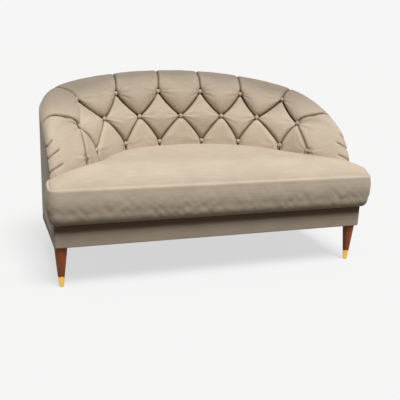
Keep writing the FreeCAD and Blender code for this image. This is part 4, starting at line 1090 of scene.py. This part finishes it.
# %% Covered buttons
BUTTON_RADIUS = 0.011
BUTTON_HEIGHT = 0.0075
BUTTON_SINK = 2
BUTTON_LEAN = 0.12
bpy.ops.object.select_all(action="DESELECT")
bpy.ops.mesh.primitive_uv_sphere_add(segments=32, ring_count=16, radius=1)
button_model = bpy.context.object
bpy.ops.object.mode_set(mode="EDIT")
bpy.ops.mesh.select_all(action="SELECT")
bpy.ops.mesh.bisect(plane_co=(0, 0, 0), plane_no=(0, 0, 1), use_fill=True, clear_inner=True)
bpy.ops.object.mode_set(mode="OBJECT")
size = Matrix.Diagonal((BUTTON_RADIUS, BUTTON_RADIUS, BUTTON_HEIGHT, 1))
bm = bmesh.new()
for place, inward in button_places:
    lean = unit(inward + UP * BUTTON_LEAN)
    turn = Vector(lean).to_track_quat("Z", "Y").to_matrix().to_4x4()
    copy = button_model.data.copy()
    copy.transform(Matrix.Translation(Vector(place - lean * BUTTON_SINK) * MM) @ turn @ size)
    bm.from_mesh(copy)
    bpy.data.meshes.remove(copy)
bpy.data.objects.remove(button_model)
covered_buttons = finish_mesh(bm, "covered_buttons")
covered_buttons.data.materials.append(button_cloth)
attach(covered_buttons, "frame")
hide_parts("back_buttons")
print("buttons:", len(button_places))

# %% [markdown]
# The outside of the tub is one smooth panel under the seam, drawn tight over board. It runs round the
# back and forward along the arms to the front border. It could be the CAD solid, but the panel has to
# meet the seam of this pad. So its edges are taken from the seam, once for the outer side and once,
# further in, for the inner side.

# %% Edges of the outside cover
COVER_BOTTOM = 184
COVER_THICKNESS = 4
COVER_DROP = 2


def cover_lines(inset):
    """Upper and lower line of the cover round the back."""
    def upper(run):
        outward = crest.at(abs(run))[1] * (1 if run >= 0 else MIRROR)
        return seam_line(run) - outward * inset - UP * COVER_DROP

    def lower(run):
        place, outward = crest.at(abs(run))
        reach = cover_reach(COVER_BOTTOM) - inset
        return on_side(run, place + outward * reach + UP * COVER_BOTTOM)
    return upper, lower


def cover_arm(inset):
    """Upper and lower edges of the cover beside the arm."""
    upper = [[pole + np.array((-inset, 0, -COVER_DROP)) for pole in edge] for edge in arm_seam]
    last = upper[-1][-1]
    upper.append(straight(last, np.array((last[0], FRONT_Y + 12, last[2]))))
    x = crest.half_width + cover_reach(COVER_BOTTOM) - inset
    depths = [upper[0][0][1]] + [edge[-1][1] for edge in upper]
    points = [np.array((x, y, COVER_BOTTOM)) for y in depths]
    return upper, [straight(a, b) for a, b in zip(points, points[1:])]


outer_lines, inner_lines = cover_lines(0), cover_lines(COVER_THICKNESS)
outer_arm, inner_arm = cover_arm(0), cover_arm(COVER_THICKNESS)
bars = []
for start, end in zip(STATIONS, STATIONS[1:]):
    around = (outer_lines[0], outer_lines[1], inner_lines[1], inner_lines[0])
    bars.append([along(line, CREST_AT[start], CREST_AT[end]) for line in around])
bars += [list(edges) for edges in zip(outer_arm[0], outer_arm[1], inner_arm[1], inner_arm[0])]
print(len(bars), "stretches of cover on each half")

# %% [markdown]
# Each stretch is a bar with four sides: outer, bottom, inner and top. A panel without thickness would
# show its back from below. The walls get rows of points between their edges, so that no face is long
# and thin, and the last bar is closed at the front.

# %% Outside cover
COVER_ROWS = 13


def between(upper, lower, count):
    """Rows from an upper to a lower line of points, or points from an upper to a lower one."""
    return np.stack([upper * (1 - share) + lower * share for share in np.linspace(0, 1, count)])


outer_high, outer_low, inner_low, inner_high = [edge[-1] for edge in bars[-1]]
front_end = np.stack([between(outer_high, outer_low, COVER_ROWS), between(inner_high, inner_low, COVER_ROWS)])
bm = bmesh.new()
for flip in SIDES:
    for bar in bars:
        for upper, lower, count in zip(bar, bar[1:] + bar[:1], (COVER_ROWS, 2, COVER_ROWS, 2)):
            add_grid(bm, between(on_edge(upper), on_edge(lower), count) * flip)
    add_grid(bm, front_end * flip)
outside_panel = finish_mesh(bm, "outside_panel")
outside_panel.data.materials.append(upholstery)
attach(outside_panel, "frame")
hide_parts("outside_cover")
print("outside panel:", len(outside_panel.data.polygons), "faces")

# %% [markdown]
# The front border is a padded rail cover with soft corners. A rounded box could be drawn from scratch,
# but the CAD knows its full size, so it starts as a box of that size. The two upright corners get a wide
# bevel, as the wadding rounds them, and the long edges a small one.

# %% Front border
CLOSE = 0.0001
bpy.ops.object.select_all(action="DESELECT")
low, high = [Vector(corner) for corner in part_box("front_border")]
bpy.ops.mesh.primitive_cube_add(size=1, location=(low + high) / 2, scale=high - low)
front_border = bpy.context.object
front_border.name = "padded_front_border"
bpy.ops.object.transform_apply(location=True, rotation=True, scale=True)


def bevel_edges(piece, chosen, offset, segments):
    """Bevel the edges of a mesh whose two ends a test picks, in edit mode."""
    bpy.ops.object.mode_set(mode="EDIT")
    bpy.ops.mesh.select_mode(type="EDGE")
    bpy.ops.mesh.select_all(action="DESELECT")
    bpy.ops.object.mode_set(mode="OBJECT")
    for edge in piece.data.edges:
        edge.select = chosen(*[piece.data.vertices[index].co for index in edge.vertices])
    bpy.ops.object.mode_set(mode="EDIT")
    bpy.ops.mesh.bevel(offset=offset, segments=segments)
    bpy.ops.object.mode_set(mode="OBJECT")


def is_front_upright(a, b):
    """An upright edge of the front face."""
    return max(a.y, b.y) < low.y + CLOSE and abs(a.x - b.x) < CLOSE


def is_level_rim(a, b):
    """A level edge that is not at the back."""
    return abs(a.z - b.z) < CLOSE and max(a.y, b.y) < high.y - CLOSE


bevel_edges(front_border, is_front_upright, offset=0.0105, segments=6)
bevel_edges(front_border, is_level_rim, offset=0.004, segments=4)
print("front border:", [round(side, 3) for side in front_border.dimensions], "m")

# %% [markdown]
# Under the cushion the border is tucked in, and its upper edge lies in deep shade. Light alone leaves it
# paler than on the real seat. So the fold attribute darkens it, and four cuts give the attribute points
# where it fades.

# %% Painted shade at the tuck of the front border
TUCK_CUTS = (0.024, 0.030, 0.036, 0.042)
TUCK_FADE = 0.014
TUCK_SHADE = 0.78
for drop in TUCK_CUTS:
    bpy.ops.object.mode_set(mode="EDIT")
    bpy.ops.mesh.select_all(action="SELECT")
    bpy.ops.mesh.bisect(plane_co=(0, 0, high.z - drop), plane_no=(0, 0, 1))
    bpy.ops.object.mode_set(mode="OBJECT")
# Painted shade under the cushion: full over the border's top 28 mm, fading out over the next 14 mm.
heights = [vertex.co.z - high.z + TUCK_CUTS[-1] for vertex in front_border.data.vertices]
tuck_painted_shade = [min(1, max(0, height / TUCK_FADE)) * TUCK_SHADE for height in heights]
front_border.data.attributes.new("fold", "FLOAT", "POINT").data.foreach_set("value", tuck_painted_shade)
bpy.ops.object.shade_smooth_by_angle(angle=math.radians(50))
front_border.data.materials.append(upholstery)
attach(front_border, "frame")
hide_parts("front_border")
print("front border:", len(front_border.data.polygons), "faces")

# %% [markdown]
# The seat cushion is one T-shaped pad: its ears pass in front of the arms, and its back follows the
# tub. A cloth simulation could blow it up from two sewn panels, but its edge would not stay where the
# frame needs it. So it is built from rings of one outline, which go up the side, over a sewn edge and
# in over the top. The outline is put together from arcs and straight lines.

# %% Arcs and lines in plan
cushion_tub = bottom_row.offset(-PUFF - 4)


def arc_points(a, b, c, count):
    """Points on the arc from a through b to c, without the last."""
    ax, ay, bx, by, cx, cy = a[0], a[1], b[0], b[1], c[0], c[1]
    a_square, b_square, c_square = ax * ax + ay * ay, bx * bx + by * by, cx * cx + cy * cy
    d = 2 * (ax * (by - cy) + bx * (cy - ay) + cx * (ay - by))
    ux = (a_square * (by - cy) + b_square * (cy - ay) + c_square * (ay - by)) / d
    uy = (a_square * (cx - bx) + b_square * (ax - cx) + c_square * (bx - ax)) / d
    angles = [math.atan2(p[1] - uy, p[0] - ux) for p in (a, b, c)]
    way = 1 if (angles[1] - angles[0]) % (2 * math.pi) < (angles[2] - angles[0]) % (2 * math.pi) else -1
    sweep = (way * (angles[2] - angles[0])) % (2 * math.pi)
    radius = math.hypot(ax - ux, ay - uy)
    turns = [angles[0] + way * sweep * n / count for n in range(count)]
    return [np.array((ux + radius * math.cos(t), uy + radius * math.sin(t), 0)) for t in turns]


def line_points(a, b, count):
    """Points on the line from a to b, without the last."""
    return [a + (b - a) * n / count for n in range(count)]


def whole_ring(right, middle, scale, z):
    """A ring from its right half, shrunk towards a middle and lifted to a level."""
    ring = right + [point * MIRROR for point in right[-2:0:-1]]
    return np.array([middle + (point - middle) * scale + UP * z for point in ring])


print("cushion reaches back to", cushion_tub.back_y, "mm")

# %% [markdown]
# One ring is drawn for its right half only: along the front, round the front corner, up the end of the
# ear and round it, through the notch beside the arm, and along the tub. The mirror image is the other
# half. Every ring has the same number of points, so that faces can join each ring to the next.

# %% Cushion outline
CUSHION_HALF = 746.0
CUSHION_FRONT = FRONT_Y - 47
EAR_BACK = FRONT_Y + 57
EAR_RADIUS = 33
FRONT_RADIUS = 45
NOTCH_BOW = 8
TUB_SHARE = 0.28
BEND = 1 - math.sqrt(0.5)
SEAM_Z = 439.0
SEAM_INSET = 11


def cushion_ring(inset, z, scale=1.0):
    """The cushion's outline at one level, in millimetres."""
    line = cushion_tub.offset(-inset)
    half = CUSHION_HALF - inset
    low = CUSHION_FRONT + inset
    corner = max(FRONT_RADIUS - inset, 9)
    bend = corner * BEND
    ear_bend = EAR_RADIUS * BEND
    front_corner = np.array((half - corner, low, 0))
    ear_end = np.array((half - EAR_RADIUS, EAR_BACK - inset * 0.7, 0))
    side_end = np.array((half, ear_end[1] - EAR_RADIUS, 0))
    side_start = np.array((half, min(low + corner, side_end[1] - 1), 0))
    tub_start = line.at(line.side_run - line.corner_radius * TUB_SHARE)[0]
    tub_middle = line.at((line.back_run + line.side_run - line.corner_radius * TUB_SHARE) / 2)[0]
    tub_end = line.at(line.back_run)[0]
    back_middle = np.array((0, line.back_y, 0))
    chord = ear_end - tub_start
    notch = (ear_end + tub_start) / 2 + unit(np.array((chord[1], -chord[0], 0))) * NOTCH_BOW
    right = line_points(np.array((0, low, 0)), front_corner, 100)
    right += arc_points(front_corner, np.array((half - bend, low + bend, 0)), side_start, 10)
    right += line_points(side_start, side_end, 4)
    right += arc_points(side_end, np.array((half - ear_bend, ear_end[1] - ear_bend, 0)), ear_end, 8)
    right += arc_points(ear_end, notch, tub_start, 16)
    right += arc_points(tub_start, tub_middle, tub_end, 24)
    right += arc_points(tub_end, back_middle, tub_end * MIRROR, 24)[:12]
    right.append(back_middle)
    middle = np.array((0, (CUSHION_FRONT + cushion_tub.back_y) / 2, 0))
    return whole_ring(right, middle, scale, z)


top_edge = cushion_ring(SEAM_INSET, SEAM_Z)
print("cushion outline:", len(top_edge), "points")

# %% [markdown]
# The top of the cushion is full in the middle and falls off to its sewn edge. A dome by formula fails at
# the ears, which are narrow. So the height is worked out on a fine grid as that of a skin held at the
# seam with air under it: each cell takes the mean of its four neighbours plus a little, over and over.

# %% Height of the swollen top
CROWN = 48.0
CELL = 6.0
STRETCH = 26.0
EAR_RISE = 27.0
LIFT_START = CUSHION_FRONT + 25
GRID_LEFT, GRID_RIGHT = -780, 780
GRID_FRONT, GRID_BACK = -460, 280
SETTLING_ROUNDS = 900


def inside_outline(outline, x, y):
    """Which places of a grid lie inside an outline."""
    inside = np.zeros(x.shape, dtype=bool)
    for a, b in zip(outline, np.roll(outline, -1, axis=0)):
        crosses = (a[1] > y) != (b[1] > y)
        span = b[1] - a[1] if b[1] != a[1] else 1
        inside ^= crosses & (x < (b[0] - a[0]) * (y - a[1]) / span + a[0])
    return inside


columns = np.arange(GRID_LEFT, GRID_RIGHT + 1, CELL)
rows = np.arange(GRID_FRONT, GRID_BACK + 1, CELL)
inside = inside_outline(top_edge, *np.meshgrid(columns, rows, indexing="ij"))
skin = np.zeros(inside.shape)
firmness = 1 / (1 + (CELL / STRETCH) ** 2 / 4)
for _ in range(SETTLING_ROUNDS):
    around = np.roll(skin, 1, 0) + np.roll(skin, -1, 0) + np.roll(skin, 1, 1) + np.roll(skin, -1, 1)
    skin = np.where(inside, (around / 4 + 1) * firmness, 0)
skin = skin / skin.max()


def crown_height(x, y):
    """The skin's height at a place, between the four grid points round it."""
    u, v = (x - GRID_LEFT) / CELL, (y - GRID_FRONT) / CELL
    i, j = int(u), int(v)
    u, v = u - i, v - j
    front = skin[i, j] * (1 - u) + skin[i + 1, j] * u
    back = skin[i, j + 1] * (1 - u) + skin[i + 1, j + 1] * u
    return CROWN * (front * (1 - v) + back * v)


def rear_lift(points):
    """How far the cushion stands higher towards the back, at the level of its seam."""
    share = np.clip((points[:, 1] - LIFT_START) / (EAR_BACK - LIFT_START), 0, 1)
    return EAR_RISE * share * share * (3 - 2 * share)


print("skin settled over", int(inside.sum()), "cells")

# %% [markdown]
# The side of the cushion bulges a little between a rounded bottom and a sewn edge. A bevelled solid
# would have one round all the way. Rings with an inset and a level of their own can follow the side, the
# groove under the welt and the top in one mesh.

# %% Cushion mesh
CUSHION_BOTTOM = 286.5
BOTTOM_INSET, BOTTOM_ROUND = 26, 50
SIDE_LOW = CUSHION_BOTTOM + BOTTOM_ROUND
SIDE_HEIGHT, SIDE_BULGE = 86, 4
SIDE_HIGH = SIDE_LOW + SIDE_HEIGHT
EDGE_INSET, EDGE_ROUND = 7, 15
TOP_INSET = 24


def add_rings(bm, rings):
    """Quads between rings of points in millimetres, and a face on the first and on the last."""
    loops = [[bm.verts.new(point * MM) for point in ring] for ring in rings]
    for lower, upper in zip(loops, loops[1:]):
        for n in range(len(lower)):
            m = (n + 1) % len(lower)
            bm.faces.new((lower[n], lower[m], upper[m], upper[n]))
    for loop in (loops[0], loops[-1]):
        bm.faces.new(loop)


quarter = np.linspace(0, math.pi / 2, 9)
levels = [(BOTTOM_INSET * (1 - math.sin(turn)), CUSHION_BOTTOM + BOTTOM_ROUND * (1 - math.cos(turn)), 1)
          for turn in quarter]
levels += [(-SIDE_BULGE * math.sin(math.pi * share), SIDE_LOW + SIDE_HEIGHT * share, 1)
           for share in np.linspace(0, 1, 13)[1:]]
levels += [(EDGE_INSET * (1 - math.cos(turn)), SIDE_HIGH + EDGE_ROUND * math.sin(turn), 1)
           for turn in quarter[2::2]]
levels += [(8.5, 436.5, 1), (10, 437, 1)]
levels += [(inset, SEAM_Z, 1) for inset in (SEAM_INSET, 14, 20, TOP_INSET)]
levels += [(TOP_INSET, SEAM_Z, scale) for scale in np.linspace(0.98, 0.02, 34)]
rings = []
for inset, z, scale in levels:
    ring = cushion_ring(inset, z, scale)
    if z == SEAM_Z:
        ring = np.array([point + UP * crown_height(point[0], point[1]) for point in ring])
    ring[:, 2] += rear_lift(ring) * (z - CUSHION_BOTTOM) / (SEAM_Z - CUSHION_BOTTOM)
    rings.append(ring)
bm = bmesh.new()
add_rings(bm, rings)
seat_cushion = finish_mesh(bm, "seat_cushion", merge=0.00001)
print("cushion rings:", len(rings))

# %% [markdown]
# Loose cloth over a soft filling is never quite smooth. Slanting wrinkles run over the lower half of
# the front, and the top keeps a few broad, shallow hollows where people sit. A bump in the finish would
# not catch the light from the side, so slow noises move the points themselves.

# %% Wrinkles of the cushion
HOLLOW_DEPTH = 2.5
SLANT_HEIGHT = 1.6
CROSSING_HEIGHT = 1.3
WRINKLE_TOP, WRINKLE_FADE = 425, 70
mesh = seat_cushion.data
points = read_points(mesh, "co") / MM
on_top = np.clip((points[:, 2] - SEAM_Z - rear_lift(points) - 3) / 10, 0, 1)
mesh.vertices.foreach_set("co", relaxed(mesh, on_top, 40).ravel())
mesh.update()
points = read_points(mesh, "co") / MM
normals = read_points(mesh, "normal")


def wrinkle(point, normal):
    """Outward movement of the cover at a place, in millimetres."""
    x, y, z = point
    hollow = noise.noise(Vector((x / 260, y / 200, 3.1))) * HOLLOW_DEPTH * max(normal[2], 0)
    if normal[1] > -0.3 or z > 432:
        return hollow
    slant = noise.noise(Vector(((x + z * 0.9) / 34, (z - x * 0.15) / 95, 7.7)))
    crossing = noise.noise(Vector(((x - z * 1.1) / 42, z / 80, 1.9)))
    fade = min(1, max(0, (WRINKLE_TOP - z) / WRINKLE_FADE)) * min(1, (z - DECK_Z) / 25)
    return hollow + (1 - abs(slant) * 2.4) * SLANT_HEIGHT * fade + crossing * CROSSING_HEIGHT * fade


moves = np.array([wrinkle(point, normal) for point, normal in zip(points, normals)])
mesh.vertices.foreach_set("co", ((points + normals * moves[:, None]) * MM).ravel())
mesh.update()
seat_cushion.data.materials.append(upholstery)
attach(seat_cushion, "cushion")
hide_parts("cushion_cover", "cushion_foam")
print("cushion:", len(seat_cushion.data.polygons), "faces")

# %% [markdown]
# Under the cushion the deck is platform cloth over webbing. It shows once the cushion is lifted: a
# panel with rolled edges that hangs a little in the middle. The CAD plate is flat with sharp edges, so
# the deck is built from rings too.

# %% Seat deck
DECK_FRONT = FRONT_Y + 12
DECK_MIDDLE = np.array((0, -90.0, 0))
DECK_BOTTOM = 268.2
DECK_TOP = 285.8
DECK_SAG = 7
deck_tub = bottom_row.offset(-12)


def deck_ring(inset, z, scale=1.0):
    """The deck's outline at one level: a straight front and the tub's curve behind."""
    line = deck_tub.offset(-inset)
    front = DECK_FRONT + inset
    end_run = line.side_run + line.corner_y - front
    right = line_points(np.array((0, front, 0)), np.array((line.half_width, front, 0)), 30)
    right += [line.at(run)[0] for run in np.linspace(0, end_run, 60)[::-1]]
    return whole_ring(right, DECK_MIDDLE, scale, z)


deck_levels = [(0.3, DECK_BOTTOM, 0.05), (0.3, DECK_BOTTOM, 1)]
deck_levels += [(0.3, 283, 1), (1, 284.8, 1), (3, 285.7, 1), (8, DECK_TOP, 1)]
deck_levels += [(8, DECK_TOP - DECK_SAG * (1 - scale ** 2), scale) for scale in np.linspace(0.95, 0.02, 20)]
bm = bmesh.new()
add_rings(bm, [deck_ring(*level) for level in deck_levels])
seat_platform = finish_mesh(bm, "seat_platform", merge=0.00001)
seat_platform.data.materials.append(platform_cloth)
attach(seat_platform, "frame")
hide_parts("seat_deck")
print("deck:", len(seat_platform.data.polygons), "faces")

# %% [markdown]
# The legs are turned: they taper from the frame down to brass caps that carry on the same taper. A
# profile could be spun round an axis, but a straight taper is a cone already. One is made, its rims are
# rounded as a turner breaks an edge, and a copy with its own mesh stands on the other side.


# %% Legs and caps
def turned_pair(name, node, bottom, top, radius_bottom, radius_top, finish):
    """A turned piece and its copy, under the CAD node's own centres."""
    low, high = [Vector(corner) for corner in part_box(node)]
    half = (high.x - low.x) / 2 - radius_top
    bpy.ops.object.select_all(action="DESELECT")
    bpy.ops.mesh.primitive_cone_add(vertices=64, radius1=radius_bottom, radius2=radius_top,
                                    depth=top - bottom,
                                    location=(half, (low.y + high.y) / 2, (bottom + top) / 2))
    model = bpy.context.object
    model.name = name
    bpy.ops.object.transform_apply(location=True, rotation=True, scale=True)
    bevel_edges(model, lambda a, b: abs(a.z - b.z) < CLOSE, offset=0.0012, segments=3)
    bpy.ops.object.shade_smooth_by_angle(angle=math.radians(40))
    model.data.materials.append(finish)
    bpy.ops.object.duplicate(linked=False)
    bpy.ops.transform.translate(value=(-2 * half, 0, 0))
    bpy.ops.object.transform_apply(location=True, rotation=True, scale=True)
    model.select_set(True)
    bpy.context.view_layer.objects.active = model
    bpy.ops.object.join()
    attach(model, "frame")
    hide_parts(node)
    return model


for end in ("front", "rear"):
    leg = turned_pair(f"turned_legs_{end}", f"legs_{end}", bottom=0.0465, top=0.184,
                      radius_bottom=0.0145, radius_top=0.028, finish=leg_wood)
    cap = turned_pair(f"brass_caps_{end}", f"ferrules_{end}", bottom=0.0, top=0.0470,
                      radius_bottom=0.009, radius_top=0.0148, finish=brass)
    print(leg.name, cap.name)
